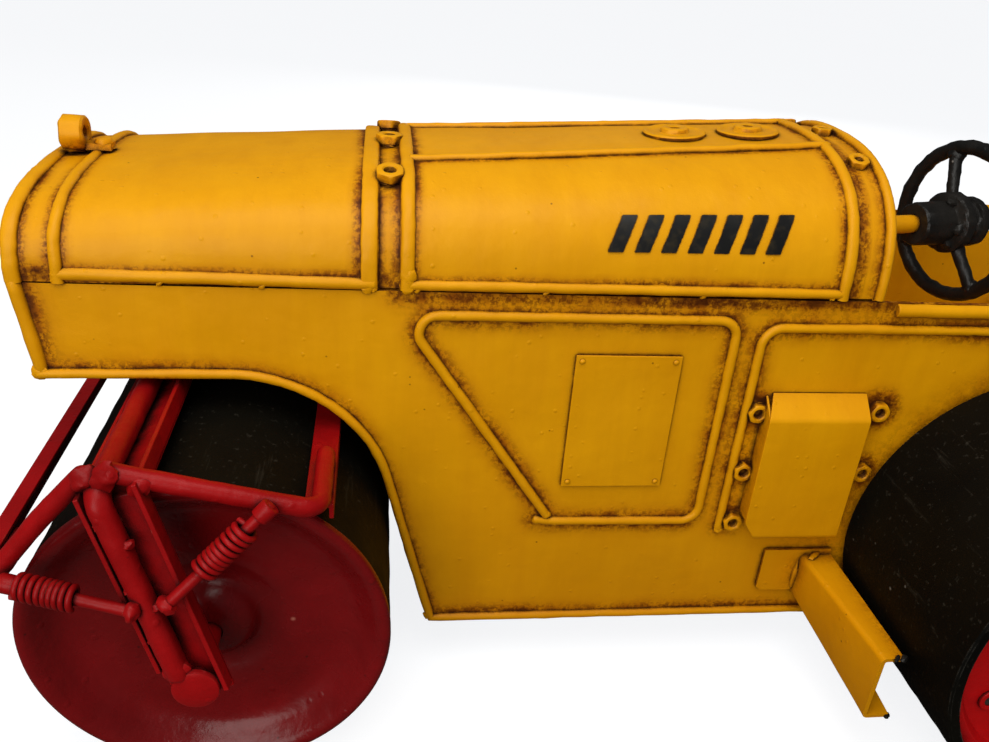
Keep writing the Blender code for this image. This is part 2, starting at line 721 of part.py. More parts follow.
def rear_rail():
    """Scraper rail from the fork to the rear scraper bar, left side."""
    corners = [(-48.6, -RAIL_Y, 97.5), (-12.9, -RAIL_Y, 87.9), (-12.9, -62.0, 87.7)]
    return wire(rounded_path(corners, 5.5, 4), FORK_TUBE, 10)


def front_rail():
    """Scraper rail from the fork to the front scraper bar, left side."""
    corners = [(-65.6, -RAIL_Y + 0.2, 94.2), (-87.2, -RAIL_Y + 0.2, 66.6), (-88.3, -66.0, 66.0)]
    return wire(rounded_path(corners, 5.5, 4), FORK_TUBE, 10)


def rear_scraper_bar():
    """Angle bar behind the front roll."""
    outline = [(-16.4, 83.8), (-11.3, 83.8), (-11.3, 80.8), (-10.2, 80.8), (-10.2, 84.9), (-16.4, 84.9)]
    return side_prism(outline, (-SCRAPER_HALF, SCRAPER_HALF))


def front_scraper_bar():
    """Angle bar in front of the front roll."""
    outline = [(-92.4, 62.0), (-91.2, 62.0), (-91.2, 69.4), (-88.2, 69.4), (-88.2, 70.5), (-92.4, 70.5)]
    return side_prism(outline, (-SCRAPER_HALF, SCRAPER_HALF))


def spring_rod(ends):
    return rod(ends[0], ends[1], 1.4, 12)


def spring(ends, middle):
    """Wire coil wound around a spring rod."""
    turns = 7
    length = 13.0
    coil_radius = 2.4
    start, end = ends
    along = (end - start).normalized()
    side = along.orthogonal().normalized()
    up = along.cross(side)
    centre = start.lerp(end, middle)
    steps = 8
    path = []
    for i in range(turns * steps + 1):
        angle = 2 * math.pi * i / steps
        travel = (i / (turns * steps) - 0.5) * length
        out = side * math.cos(angle) + up * math.sin(angle)
        path.append(centre + along * travel + out * coil_radius)
    return wire(path, 0.6, 4)


# ---------------------------------------------------------------- steering wheel
def steering_wheel():
    """Ring, three spokes and hub, built around the column axis (local X, rearwards)."""
    ring = ring_wire((0, 0, 0), (1, 0, 0), WHEEL_RADIUS, 2.2, 32, 6)
    bore = SPINDLE_RADIUS + 0.7
    collar = [(bore, -14.0), (6.4, -14.0), (6.8, -13.4), (6.8, -6.0)]
    flanges = [(9.4, -5.4), (9.4, -1.6), (6.2, -1.0), (6.2, 2.4), (7.8, 2.8), (7.8, 5.6), (7.0, 6.2)]
    hub = turned([*collar, *flanges, (bore, 6.2)], (0, 0, 0), (1, 0, 0), 24)
    spokes = []
    for degrees in (90, 210, 330):
        angle = math.radians(degrees)
        out = Vector((0, -math.cos(angle), math.sin(angle)))
        spokes.append(rod(Vector((-2.6, 0, 0)) + out * 5.0, out * (WHEEL_RADIUS + 0.4), 1.9, 8))
    return combined(hub, [*spokes, ring])


def column_ends():
    axis = Vector((math.cos(COLUMN_YAW), math.sin(COLUMN_YAW), 0))
    start_x = FIREWALL_X + SHEET + 2.0
    start = WHEEL_CENTRE - axis * ((WHEEL_CENTRE.x - start_x) / axis.x)
    return start, WHEEL_CENTRE + axis * 5.4, axis


def steering_column():
    """Bracket tube on the firewall and the thinner spindle inside the hub."""
    start, end, axis = column_ends()
    sleeve = rod(start, WHEEL_CENTRE - axis * 14.4, 2.8, 16)
    spindle = rod(start + axis, end, SPINDLE_RADIUS, 16)
    flange_place = (FIREWALL_X + SHEET + GAP, start.y - 0.2, WHEEL_CENTRE.z)
    flange = turned([(0.5, 0), (6.0, 0), (6.0, 1.6), (0.5, 1.6)], flange_place, (1, 0, 0), 20)
    return combined(sleeve, [spindle, flange])


# ---------------------------------------------------------------- assembly
def pair(name, maker, mat, parents):
    """Left piece and its mirror image on the right; parents are (left, right)."""
    for side, parent in zip(("left", "right"), parents):
        shape = maker()
        if side == "right":
            mirrored(shape)
        add_object(f"{name}_{side}", shape, mat, parent)


def build_body(datum, yellow, red, black):
    body = (datum, datum)
    pair("side_panel", side_panel, yellow, body)
    pair("access_plate", access_plate, yellow, body)
    pair("box_cover", box_cover, yellow, body)
    pair("step", step, yellow, body)
    pair("handrail", handrail, yellow, body)
    add_object("nose_panel", nose_panel(), yellow, datum)
    add_object("hood_front", hood_front(), yellow, datum)
    add_object("hood_joint_strip", hood_joint_strip(), yellow, datum)
    add_object("hood_rear", hood_rear(), yellow, datum)
    add_object("hood_end_band", hood_end_band(), yellow, datum)
    add_object("firewall", firewall(), yellow, datum)
    add_object("lifting_eye", lifting_eye(), yellow, datum)
    add_object("deck_cap_front", deck_cap(84.5), yellow, datum)
    add_object("deck_cap_rear", deck_cap(106.5), yellow, datum)
    inside = (-INNER_HALF, INNER_HALF)
    full_width = (-HALF_WIDTH, HALF_WIDTH)
    back = REAR_X - 0.4
    floor = block((FIREWALL_X + SHEET + GAP, back), inside, (FLOOR_Z, FLOOR_Z + SHEET))
    belly = block((ARCH_FOOT_X + 2, back), inside, (BODY_BOTTOM + 1, BODY_BOTTOM + 1 + SHEET))
    rear = block((REAR_X + GAP, REAR_X + GAP + SHEET), full_width, (BODY_BOTTOM, REAR_TOP - 16))
    pedestal = block((205, 226), (-12, 12), (FLOOR_Z + SHEET + GAP, 84.6))
    add_object("cab_floor", floor, yellow, datum)
    add_object("belly_plate", belly, yellow, datum)
    add_object("rear_panel", rear, yellow, datum)
    add_object("seat_pedestal", pedestal, yellow, datum)
    add_object("seat", seat(), black, datum)
    add_object("king_pin_bracket", king_pin_bracket(), yellow, datum)
    add_object("steering_column", steering_column(), yellow, datum)
    add_object("rear_axle", rear_axle(), black, datum)
    pair("rear_axle_nut", rear_axle_nut, red, body)


def build_rear_rolls(datum, red, tread):
    hub_place = (REAR_AXLE_X, 0, REAR_RADIUS)
    hubs = [empty(f"rear_wheel_axis_{side}", hub_place, datum) for side in ("left", "right")]
    pair("rear_roll", rear_roll, tread, hubs)
    pair("rear_wheel_centre", rear_wheel_centre, red, hubs)


def build_front_fork(datum, red, yellow):
    """Everything that turns with the fork, in an empty that stands on the king pin."""
    swing = empty("steering_axis", (KING_X, 0, 0), datum)
    shifted = empty("fork_datum", (-KING_X, 0, 0), swing)
    fork = (shifted, shifted)
    add_object("yoke", yoke(), red, shifted)
    pair("fork_tube", fork_tube, red, fork)
    add_object("king_pin", king_pin(), red, shifted)
    pin_nut = hex_nut((KING_X, 0, 105.9), (0, 0, 1), 10.0, 4.0, AXLE_RADIUS + GAP)
    add_object("king_pin_nut", pin_nut, yellow, shifted)
    add_object("front_axle", front_axle(), red, shifted)
    pair("axle_cap", axle_cap, red, fork)
    pair("rear_rail", rear_rail, red, fork)
    pair("front_rail", front_rail, red, fork)
    add_object("rear_scraper_bar", rear_scraper_bar(), red, shifted)
    add_object("front_scraper_bar", front_scraper_bar(), red, shifted)
    pair("rear_spring_rod", lambda: spring_rod(REAR_ROD), red, fork)
    pair("front_spring_rod", lambda: spring_rod(FRONT_ROD), red, fork)
    pair("rear_spring", lambda: spring(REAR_ROD, 0.50), red, fork)
    pair("front_spring", lambda: spring(FRONT_ROD, 0.62), red, fork)
    return shifted


def build_drum(fork, red, tread):
    axis = empty("drum_axis", (DRUM_X, 0, DRUM_RADIUS), fork)
    add_object("drum_shell", drum_shell(), tread, axis)
    pair("drum_disc", drum_disc, red, (axis, axis))


def build_steering_wheel(datum, black):
    axis = empty("steering_wheel_axis", WHEEL_CENTRE, datum, (0, 0, COLUMN_YAW))
    add_object("steering_wheel", steering_wheel(), black, axis)


def main():
    clear_scene()
    yellow = paint("yellow_paint", YELLOW, 0.38)
    red = paint("red_paint", RED, 0.35)
    black = paint("black_paint", BLACK, 0.5)
    tread = paint("tread_paint", TREAD, 0.62)
    datum = empty("datum", (DATUM_SHIFT, 0, 0))
    build_body(datum, yellow, red, black)
    build_rear_rolls(datum, red, tread)
    fork = build_front_fork(datum, red, yellow)
    build_drum(fork, red, tread)
    build_steering_wheel(datum, black)


main()
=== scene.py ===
"""Toy road roller: the looks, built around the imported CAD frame.

The front of the machine points along -X, its left side faces -Y, and +Z is up. Shapes are made
in millimetres, with X counted from the joint between the two hood halves, and become metres in
the frame's place when a piece is made. Every piece rides on the CAD body whose solid it refines.
"""
import json
from math import acos, atan, copysign, cos, exp, pi, radians, sin, tan

import bmesh
import bpy
from mathutils import Matrix, Vector, kdtree, noise


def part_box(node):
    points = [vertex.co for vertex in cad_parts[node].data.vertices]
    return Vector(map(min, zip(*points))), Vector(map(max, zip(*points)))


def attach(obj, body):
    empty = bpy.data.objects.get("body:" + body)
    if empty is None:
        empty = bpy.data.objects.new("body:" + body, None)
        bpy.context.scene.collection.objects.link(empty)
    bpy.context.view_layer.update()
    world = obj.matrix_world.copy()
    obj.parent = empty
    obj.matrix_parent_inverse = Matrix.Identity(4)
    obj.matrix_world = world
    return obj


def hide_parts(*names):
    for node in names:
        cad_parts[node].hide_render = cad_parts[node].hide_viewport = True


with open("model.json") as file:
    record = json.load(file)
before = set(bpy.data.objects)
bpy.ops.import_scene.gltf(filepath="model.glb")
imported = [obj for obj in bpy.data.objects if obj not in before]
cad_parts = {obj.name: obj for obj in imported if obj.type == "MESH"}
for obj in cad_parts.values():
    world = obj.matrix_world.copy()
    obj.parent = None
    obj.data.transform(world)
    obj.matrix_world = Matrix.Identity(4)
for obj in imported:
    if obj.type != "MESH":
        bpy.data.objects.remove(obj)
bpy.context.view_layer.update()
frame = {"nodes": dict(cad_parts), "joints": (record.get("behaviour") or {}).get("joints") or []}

MM = 0.001
SHEET = 1.2                   # thickness of the tin
JOINTS = {joint["name"]: joint for joint in frame["joints"]}
FRONT_AXLE_X = -41.6          # from the hood joint
HOOD_JOINT_X = JOINTS["front_roll_spin"]["pos_m"][0] / MM - FRONT_AXLE_X


def vec(x, y=0.0, z=0.0):
    return Vector((x, y, z))


def local(point):
    """A place in the frame, in millimetres from the hood joint."""
    x, y, z = point
    return vec(x / MM - HOOD_JOINT_X, y / MM, z / MM)


def node_box(node):
    low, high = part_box(node)
    return local(low), local(high)


# body
REAR_LOW, REAR_HIGH = node_box("rear_panel")
HALF_WIDTH = REAR_HIGH.y
REAR_X = REAR_LOW.x - 0.3
REAR_TOP = REAR_HIGH.z + 16.0
NOSE_X = node_box("hood_front")[0].x + 0.4
NOSE_FOOT_X = NOSE_X + 3.0    # the nose leans forward from its foot
NOSE_BOTTOM = 100.5
SEAM_Z = 125.0                # top of the side panels, foot of the hood
BODY_BOTTOM = REAR_LOW.z
ARCH_START_X = -38.7
ARCH_RADIUS = 42.0
ARCH_TURN = radians(75)
ARCH_FOOT_X = 16.0
BELLY_END_X = 139.0           # where the wire along the lower edge ends, at the step
CAB_SLOPE_X = 220.0
EDGE_WIRE = 1.35              # radii of the soldered wires
NOSE_WIRE = 1.9
FRAME_WIRE = 1.42
SIDE_NUT = (5.5, 2.7, 1.5)    # across flats, height, bore radius
STRIP_NUT = (6.8, 2.3, 1.65)
BAND_NUT = (5.5, 2.2, 1.3)

# hood
HOOD_SPLIT = 4.9
HOOD_END = 125.0
BAND_END = 135.6
STRAP = 4.2
FRONT_STRAP_X = -76.4
DECK_BEAD_Y = 19.3
DECK_BEAD_END_Y = 15.4
FRONT_HOOD_SLOPE = 0.08
REAR_HOOD_SLOPE = 0.066

# front roll and fork
DRUM = local(JOINTS["front_roll_spin"]["pos_m"])
DRUM_RADIUS = DRUM.z
DRUM_HALF = node_box("drum_disc_right")[1].y
FORK_LEAN = radians(17.3)
FORK_RISE = 48.8
FORK_DROP = 5.0
LEG_TOP_Y = 87.0
LEG_FOOT_Y = 93.5
CHANNEL_WIDTH = 14.0
CHANNEL_DEPTH = 4.6
TUBE_ACROSS = -2.3
FORK_TUBE = 2.8
RAIL_TUBE = 2.3
RAIL_Y = 86.4
KING_X = local(JOINTS["steering"]["pos_m"]).x
AXLE_RADIUS = 3.0

# rear rolls
REAR_AXLE = local(JOINTS["rear_left_spin"]["pos_m"])
REAR_RADIUS = REAR_AXLE.z
REAR_INNER_Y = node_box("rear_roll_right")[0].y
REAR_OUTER_Y = node_box("rear_roll_right")[1].y
REAR_AXLE_RADIUS = 4.0
TREAD_SHEET = 3.0

# steering wheel
WHEEL_CENTRE = local(JOINTS["steering_wheel_spin"]["pos_m"])
WHEEL_AXIS = Vector(JOINTS["steering_wheel_spin"]["axis"])
WHEEL_RADIUS = 23.0
FIREWALL_X = node_box("firewall")[0].x

UP = vec(0, 0, 1)
OUT_LEFT = (0, -1, 0)


# ---------------------------------------------------------------- materials
def feed(tree, value, socket):
    """Gives an input a number, a colour or another node's output."""
    if isinstance(value, bpy.types.NodeSocket):
        tree.links.new(value, socket)
    else:
        socket.default_value = (*value, 1.0) if socket.type == "RGBA" else value


def make(tree, kind, feeds=None, **settings):
    """Adds a node, feeds its inputs by name or number, and gives its outputs."""
    node = tree.nodes.new("ShaderNode" + kind)
    for name, value in settings.items():
        setattr(node, name, value)
    for key, value in (feeds or {}).items():
        feed(tree, value, node.inputs[key])
    return node.outputs


class Nodes:
    """Small helper around a material's node tree."""

    def __init__(self, name):
        self.material = bpy.data.materials.new(name)
        self.material.use_nodes = True
        self.tree = self.material.node_tree
        self.place = self.make("TexCoord")["Object"]

    def make(self, kind, feeds=None, **settings):
        return make(self.tree, kind, feeds, **settings)

    def set(self, name, value):
        feed(self.tree, value, self.tree.nodes["Principled BSDF"].inputs[name])

    def maths(self, operation, first, second=0.0, clamp=False):
        return self.make("Math", {0: first, 1: second}, operation=operation, use_clamp=clamp)[0]

    def times(self, first, second, clamp=False):
        return self.maths("MULTIPLY", first, second, clamp)

    def plus(self, first, second, clamp=False):
        return self.maths("ADD", first, second, clamp)

    def mix(self, share, first, second):
        return self.make("Mix", {0: share, 6: first, 7: second}, data_type="RGBA")[2]

    def ramp(self, value, low, high):
        """0 at low, 1 at high; low may be the larger one."""
        return self.make("MapRange", {"Value": value, "From Min": low, "From Max": high}, clamp=True)[0]

    def noise(self, scale, detail=3.0, rough=0.5, stretch=None):
        place = self.place
        if stretch:
            place = self.make("Mapping", {"Vector": place, "Scale": stretch})[0]
        feeds = {"Vector": place, "Scale": scale, "Detail": detail, "Roughness": rough}
        return self.make("TexNoise", feeds)["Fac"]

    def spots(self, scale, size, share):
        """Round spots in a random share of cells, sharp enough to read as chips and pimples."""
        cells = self.make("TexVoronoi", {"Vector": self.place, "Scale": scale})
        draw = self.make("SeparateColor", {0: cells["Color"]})[0]
        return self.times(self.maths("LESS_THAN", draw, share),
                          self.ramp(cells["Distance"], size, size * 0.45))

    def hollow(self, distance):
        """0 on open faces, towards 1 in corners and beside raised wires."""
        openness = self.make("AmbientOcclusion", {"Distance": distance}, samples=6)["AO"]
        return self.maths("SUBTRACT", 1.0, openness, clamp=True)

    def near_wires(self):
        """1 beside a soldered wire, fading to 0 a few millimetres away."""
        return self.make("Attribute", attribute_name="grime_and_shade")["Fac"]

    def edge(self, radius):
        """Towards 1 on sharp outer and inner edges."""
        rounded = self.make("Bevel", {"Radius": radius}, samples=4)[0]
        flat = self.make("NewGeometry")["Normal"]
        dot = self.make("VectorMath", {0: rounded, 1: flat}, operation="DOT_PRODUCT")["Value"]
        return self.ramp(dot, 0.97, 0.75)

    def height(self):
        return self.make("SeparateXYZ", {0: self.place})["Z"]

    def bump(self, layers):
        """Chain of bumps: (height, depth in metres) pairs."""
        feeds = {}
        for level, depth in layers:
            feeds.update({"Strength": 1.0, "Distance": depth, "Height": level})
            feeds["Normal"] = self.make("Bump", feeds)[0]
        self.set("Normal", feeds["Normal"])

    def finish(self, rough, gloss, bumps):
        """Sets what isn't colour and gives the finished material."""
        self.set("Roughness", rough)
        self.set("Specular IOR Level", gloss)
        self.bump(bumps)
        return self.material

    def layer(self, share, colour, strength=None):
        """Lays a colour over what is there, as thickly as share says."""
        if strength is not None:
            share = self.times(share, strength)
        self.colour = self.mix(share, self.colour, colour)
        self.set("Base Color", self.colour)


def yellow_paint():
    """Warm yellow enamel: brown wash beside the wires and in corners, partly dirt and partly painted shade,
    painted shade darkening towards the bottom, stains, pimples, small chips.
    """
    n = Nodes("yellow_paint_worn")
    blotch = n.ramp(n.noise(24, 5, 0.6), 0.32, 0.7)
    streak = n.ramp(n.noise(55, 4, 0.6, (2.2, 1.0, 0.25)), 0.4, 0.75)
    n.colour = n.mix(blotch, (0.77, 0.325, 0.0006), (0.86, 0.385, 0.0015))
    n.layer(streak, (0.62, 0.225, 0.001), 0.28)
    # painted shade: the yellow turns darker and browner towards the bottom, where less light falls
    low = n.ramp(n.height(), 0.078, 0.012)
    n.layer(low, (0.48, 0.150, 0.0008), 0.42)
    grain = n.noise(900, 3, 0.7)
    patch = n.noise(170, 6, 0.7)
    drift = n.ramp(n.noise(34, 3, 0.6), 0.30, 0.62)
    # how hollow each place is: the washes drawn from these masks are partly dirt and partly painted shade in
    # corners and under parts
    wide = n.hollow(0.009)
    narrow = n.hollow(0.0022)
    near = n.maths("MAXIMUM", n.near_wires(), n.times(wide, 1.2))
    near = n.times(near, n.plus(0.55, n.times(drift, 0.6)))
    # brown wash beside the wires and in hollows: dirt, plus painted shade where it follows the hollows
    stain_and_shade = n.times(n.ramp(near, 0.10, 0.85), n.plus(0.40, n.ramp(patch, 0.35, 0.62)))
    n.layer(n.times(stain_and_shade, 0.9, True), (0.40, 0.110, 0.001))
    speck = n.times(n.ramp(near, 0.24, 0.72), n.ramp(grain, 0.47, 0.56))
    n.layer(speck, (0.14, 0.030, 0.001), 0.8)
    # darkest brown right by the wires and deep in hollows: dirt and painted shade
    heavy = n.times(n.ramp(near, 0.62, 0.98), n.ramp(patch, 0.36, 0.56))
    n.layer(heavy, (0.060, 0.012, 0.001), 0.9)
    # near-black in tight corners: dirt and painted shade
    grime_and_shade = n.times(n.ramp(narrow, 0.16, 0.45), n.ramp(patch, 0.2, 0.5))
    n.layer(grime_and_shade, (0.035, 0.008, 0.001))
    dots = n.spots(230, 0.085, 0.09)
    n.layer(dots, (0.14, 0.030, 0.001), 0.8)
    worn = n.times(n.edge(0.0005), n.ramp(n.noise(240, 4, 0.7), 0.52, 0.66))
    n.layer(worn, (0.26, 0.070, 0.002), 0.7)
    rough = n.plus(n.plus(0.34, n.times(n.noise(70, 4), 0.16)), n.times(grime_and_shade, 0.3), clamp=True)
    pimples = n.spots(340, 0.22, 0.22)
    return n.finish(rough, 0.15, [(n.noise(38, 3), 0.0010), (n.noise(420, 3, 0.6), 0.00009),
                                  (pimples, 0.00010)])


def red_paint(name, depth, gloss=0.16, rough=0.27):
    """Dark red gloss enamel with a black wash, partly dirt and partly painted shade in hollows, blisters and
    chips down to pale metal.
    """
    n = Nodes(name)
    blotch = n.ramp(n.noise(34, 5, 0.65), 0.3, 0.7)
    n.colour = n.mix(blotch, (0.25 * depth, 0.0026, 0.0030), (0.40 * depth, 0.0042, 0.0055))
    # black wash in hollows and tight corners: partly dirt, partly painted shade
    wide = n.hollow(0.014)
    narrow = n.hollow(0.003)
    patch = n.noise(120, 6, 0.65)
    stain_and_shade = n.times(n.ramp(wide, 0.1, 0.6), n.ramp(patch, 0.25, 0.6))
    n.layer(stain_and_shade, (0.085, 0.002, 0.003), 0.75)
    grime_and_shade = n.times(n.ramp(narrow, 0.2, 0.6), n.ramp(patch, 0.25, 0.55))
    n.layer(grime_and_shade, (0.014, 0.002, 0.002))
    chips = n.spots(150, 0.13, 0.06)
    n.layer(chips, (0.45, 0.14, 0.10), 0.8)
    dark = n.spots(260, 0.12, 0.08)
    n.layer(dark, (0.03, 0.003, 0.003), 0.8)
    worn = n.times(n.edge(0.0005), n.ramp(n.noise(180, 4, 0.7), 0.5, 0.66))
    n.layer(worn, (0.36, 0.075, 0.05), 0.6)
    rough = n.plus(n.plus(rough, n.times(n.noise(90, 4), 0.2)), n.times(grime_and_shade, 0.35), clamp=True)
    blisters = n.spots(300, 0.3, 0.18)
    return n.finish(rough, gloss, [(n.noise(60, 3), 0.0009), (n.noise(500, 3, 0.6), 0.00012),
                                   (blisters, 0.00012)])


def tread_paint():
    """Dull black enamel of the rolls: scuffed along the turning direction, dusty, faintly olive."""
    n = Nodes("tread_paint_worn")
    blotch = n.ramp(n.noise(30, 5, 0.6), 0.35, 0.7)
    n.colour = n.mix(blotch, (0.0024, 0.0022, 0.0016), (0.0062, 0.0050, 0.0026))
    scuff = n.ramp(n.noise(320, 5, 0.7, (1.0, 0.08, 1.0)), 0.62, 0.78)
    n.layer(scuff, (0.07, 0.062, 0.045), 0.35)
    dust = n.ramp(n.noise(640, 3, 0.6), 0.62, 0.75)
    n.layer(dust, (0.10, 0.09, 0.07), 0.25)
    chips = n.spots(170, 0.12, 0.07)
    n.layer(chips, (0.16, 0.15, 0.13))
    worn = n.times(n.edge(0.0006), n.ramp(n.noise(200, 4, 0.7), 0.45, 0.65))
    n.layer(worn, (0.14, 0.13, 0.11), 0.6)
    return n.finish(n.plus(0.44, n.times(n.noise(80, 4), 0.3)), 0.07,
                    [(n.noise(45, 3), 0.0007), (n.noise(600, 4, 0.65), 0.00009), (chips, 0.0001)])


def black_paint():
    """Thick brushed black over a rough weld, with a brown undercoat that shows in places."""
    n = Nodes("black_paint_worn")
    n.colour = n.mix(n.ramp(n.noise(60, 5), 0.35, 0.7), (0.006, 0.006, 0.006), (0.016, 0.014, 0.012))
    brown = n.ramp(n.noise(75, 6, 0.7), 0.62, 0.72)
    n.layer(brown, (0.10, 0.028, 0.008), 0.5)
    specks = n.spots(300, 0.14, 0.09)
    n.layer(specks, (0.20, 0.18, 0.16))
    return n.finish(n.plus(0.26, n.times(n.noise(120, 4), 0.3)), 0.3,
                    [(n.noise(180, 4, 0.6), 0.0006), (n.noise(900, 3, 0.6), 0.00012)])


def decal_black():
    n = Nodes("decal_black")
    n.set("Base Color", n.mix(n.ramp(n.noise(400, 4), 0.5, 0.75), (0.006, 0.006, 0.006), (0.03, 0.022, 0.01)))
    return n.finish(n.plus(0.3, n.times(n.noise(150, 3), 0.15)), 0.5, [(n.noise(38, 3), 0.0008)])


def bare_steel():
    """Dark oiled steel inside nuts and on axle ends."""
    n = Nodes("axle_steel_worn")
    n.set("Base Color", n.mix(n.noise(300, 5), (0.05, 0.045, 0.04), (0.16, 0.14, 0.12)))
    n.set("Metallic", 0.8)
    return n.finish(n.plus(0.35, n.times(n.noise(200, 3), 0.25)), 0.5, [(n.noise(500, 4), 0.0001)])


def floor_paper():
    """Pale paper: as bright as paper to the eye, but it throws little light back up."""
    n = Nodes("studio_floor")
    ray = n.make("LightPath")["Is Camera Ray"]
    paper = n.mix(n.noise(3, 2), (0.30, 0.30, 0.298), (0.32, 0.32, 0.318))
    n.set("Base Color", n.mix(ray, (0.10, 0.095, 0.09), paper))
    n.set("Roughness", 0.9)
    n.set("Specular IOR Level", 0.05)
    n.set("Emission Color", (0.97, 0.98, 1.0))
    n.set("Emission Strength", n.times(ray, 0.86))
    return n.material


YELLOW = yellow_paint()
RED = red_paint("red_paint_worn", 1.0)
DISC_RED = red_paint("red_disc_worn", 0.52, 0.30, 0.17)
WHEEL_RED = red_paint("red_wheel_worn", 1.7)
TREAD = tread_paint()
BLACK = black_paint()
DECAL = decal_black()
STEEL = bare_steel()


# ---------------------------------------------------------------- shapes
def side_axes(axis):
    """An axis of length 1 with two directions square to it."""
    axis = Vector(axis).normalized()
    side = axis.orthogonal().normalized()
    return axis, side, axis.cross(side)


def circle(centre, side, up, radius, steps):
    """Points around a centre. radius may be a function of the angle."""
    points = []
    for i in range(steps):
        a = 2 * pi * i / steps
        reach = radius(a) if callable(radius) else radius
        points.append(centre + (side * cos(a) + up * sin(a)) * reach)
    return points


class Shape:
    """Points and faces in millimetres; each call adds one closed shell."""

    def __init__(self):
        self.points = []
        self.faces = []

    def add(self, points, faces):
        base = len(self.points)
        self.points.extend(points)
        self.faces.extend([i + base for i in face] for face in faces)
        return self

    def skin(self, rings, closed=False):
        """Joins equal rings of points; the ends are filled unless the path is closed."""
        count = len(rings[0])
        points = [point for ring in rings for point in ring]
        faces = []
        for i in range(len(rings) if closed else len(rings) - 1):
            here = i * count
            there = (i + 1) % len(rings) * count
            for j in range(count):
                k = (j + 1) % count
                faces.append([here + j, here + k, there + k, there + j])
        if not closed:
            last = (len(rings) - 1) * count
            faces.append(list(range(count))[::-1])
            faces.append([last + j for j in range(count)])
        return self.add(points, faces)

    def prism(self, outline, axis, span):
        """Outline of (u, v) pairs pushed along an axis: x takes (y, z), y takes (x, z), z takes (x, y)."""
        slot = "xyz".index(axis)
        return self.skin([[vec(*p[:slot], level, *p[slot:]) for p in outline] for level in span])

    def tube(self, path, radius, sides=14, closed=False, wobble=0.0):
        """Round wire along a path, with rounded ends and a hand-made unevenness."""
        path = [Vector(p) for p in path]
        rings = []
        guide = None
        for i, point in enumerate(path):
            along = direction(path, i, closed)
            if guide is None:
                guide = along.orthogonal()
            across = (guide - along * guide.dot(along)).normalized()
            guide = across
            rings.append(ring_around(point, across, along.cross(across), radius, sides, wobble))
        if not closed:
            for end, inner, at_start in ((path[0], path[1], True), (path[-1], path[-2], False)):
                out = (end - inner).normalized()
                ring = rings[0] if at_start else rings[-1]
                caps = []
                for turn in (30, 60, 80):
                    a = radians(turn)
                    caps.append([end + (p - end) * cos(a) + out * radius * 0.6 * sin(a) for p in ring])
                rings = caps[::-1] + rings if at_start else rings + caps
        return self.skin(rings, closed)

    def lathe(self, profile, centre, axis, steps=96):
        """Turns an outline of (radius, height) pairs around an axis; it may start and end on it."""
        axis, side, up = side_axes(axis)
        centre = Vector(centre)
        if profile[0][0]:
            outs = circle(vec(0), side, up, 1.0, steps)
            return self.skin([[centre + out * r + axis * h for r, h in profile] for out in outs], True)
        return self.skin([circle(centre + axis * h, side, up, max(r, 0.02), steps) for r, h in profile])

    def nut(self, place, normal, flats, height, bore, turn=0.0):
        """Hexagon nut with a rounded top edge, a chamfered bore and thread ridges."""
        place = Vector(place)
        normal = Vector(normal).normalized()
        guide = UP if abs(normal.x) > 0.9 else vec(1)
        side = (guide - normal * guide.dot(normal)).normalized()
        up = normal.cross(side)
        half = flats / 2
        sector = pi / 3
        steps = 48

        def hexagon(a, limit=1.115):
            a += turn
            return min(half / cos((a % sector) - sector / 2), half * limit)

        outer = [(hexagon, 0.0), (hexagon, height - 0.55), (lambda a: hexagon(a, 1.04), height - 0.2),
                 (half * 0.93, height)]
        inner = [(bore + 0.35, height)]
        ridges = max(2, round(height / 0.5))
        for i in range(ridges):
            top = height - 0.35 - (height - 0.4) * i / ridges
            inner.extend([(bore, top), (bore + 0.16, top - 0.22)])
        levels = [*outer, *inner, (bore, 0.0)]
        return self.skin([circle(place + normal * h, side, up, reach, steps) for reach, h in levels], True)

    def blob(self, place, reach, seed=0.0, normal=(0, 0, 1), steps=12):
        """Lump of solder or weld: a ball with sizes (along two sides, along normal) and dents."""
        normal, side, up = side_axes(normal)
        rings = []
        for i in range(1, steps // 2 + 2):
            polar = pi * (i - 0.5) / (steps // 2 + 1)
            ring = []
            for j in range(steps):
                a = 2 * pi * j / steps
                out = vec(sin(polar) * cos(a), sin(polar) * sin(a), cos(polar))
                dent = 1 + 0.3 * noise.noise(out * 1.6 + vec(seed, seed * 0.7))
                ring.append(Vector(place) + (side * out.x * reach[0] + up * out.y * reach[1]
                            + normal * out.z * reach[2]) * dent)
            rings.append(ring)
        return self.skin(rings)


def direction(path, i, closed=False):
    """The way a path runs at its point i."""
    if closed:
        return (path[(i + 1) % len(path)] - path[i - 1]).normalized()
    return (path[min(i + 1, len(path) - 1)] - path[max(i - 1, 0)]).normalized()


def ring_around(point, across, up, radius, sides, wobble):
    grow = 1 + wobble * noise.noise(point * 0.16) + 0.5 * wobble * noise.noise(point * 0.6)
    shift = (across * noise.noise(point * 0.11 + vec(9))
             + up * noise.noise(point * 0.11 + vec(0, 9))) * wobble * 1.2
    return circle(point + shift, across, up, radius * grow, sides)


def corner_arc(corner, before, after, radius, steps):
    to_before = (before - corner).normalized()
    to_after = (after - corner).normalized()
    half = acos(max(-1.0, min(1.0, to_before.dot(to_after)))) / 2
    reach = radius / tan(half)
    centre = corner + (to_before + to_after).normalized() * (radius / sin(half))
    first = corner + to_before * reach - centre
    last = corner + to_after * reach - centre
    turn = pi - 2 * half
    return [centre + (first * sin((1 - i / steps) * turn) + last * sin(i / steps * turn))
            / sin(turn) for i in range(steps + 1)]


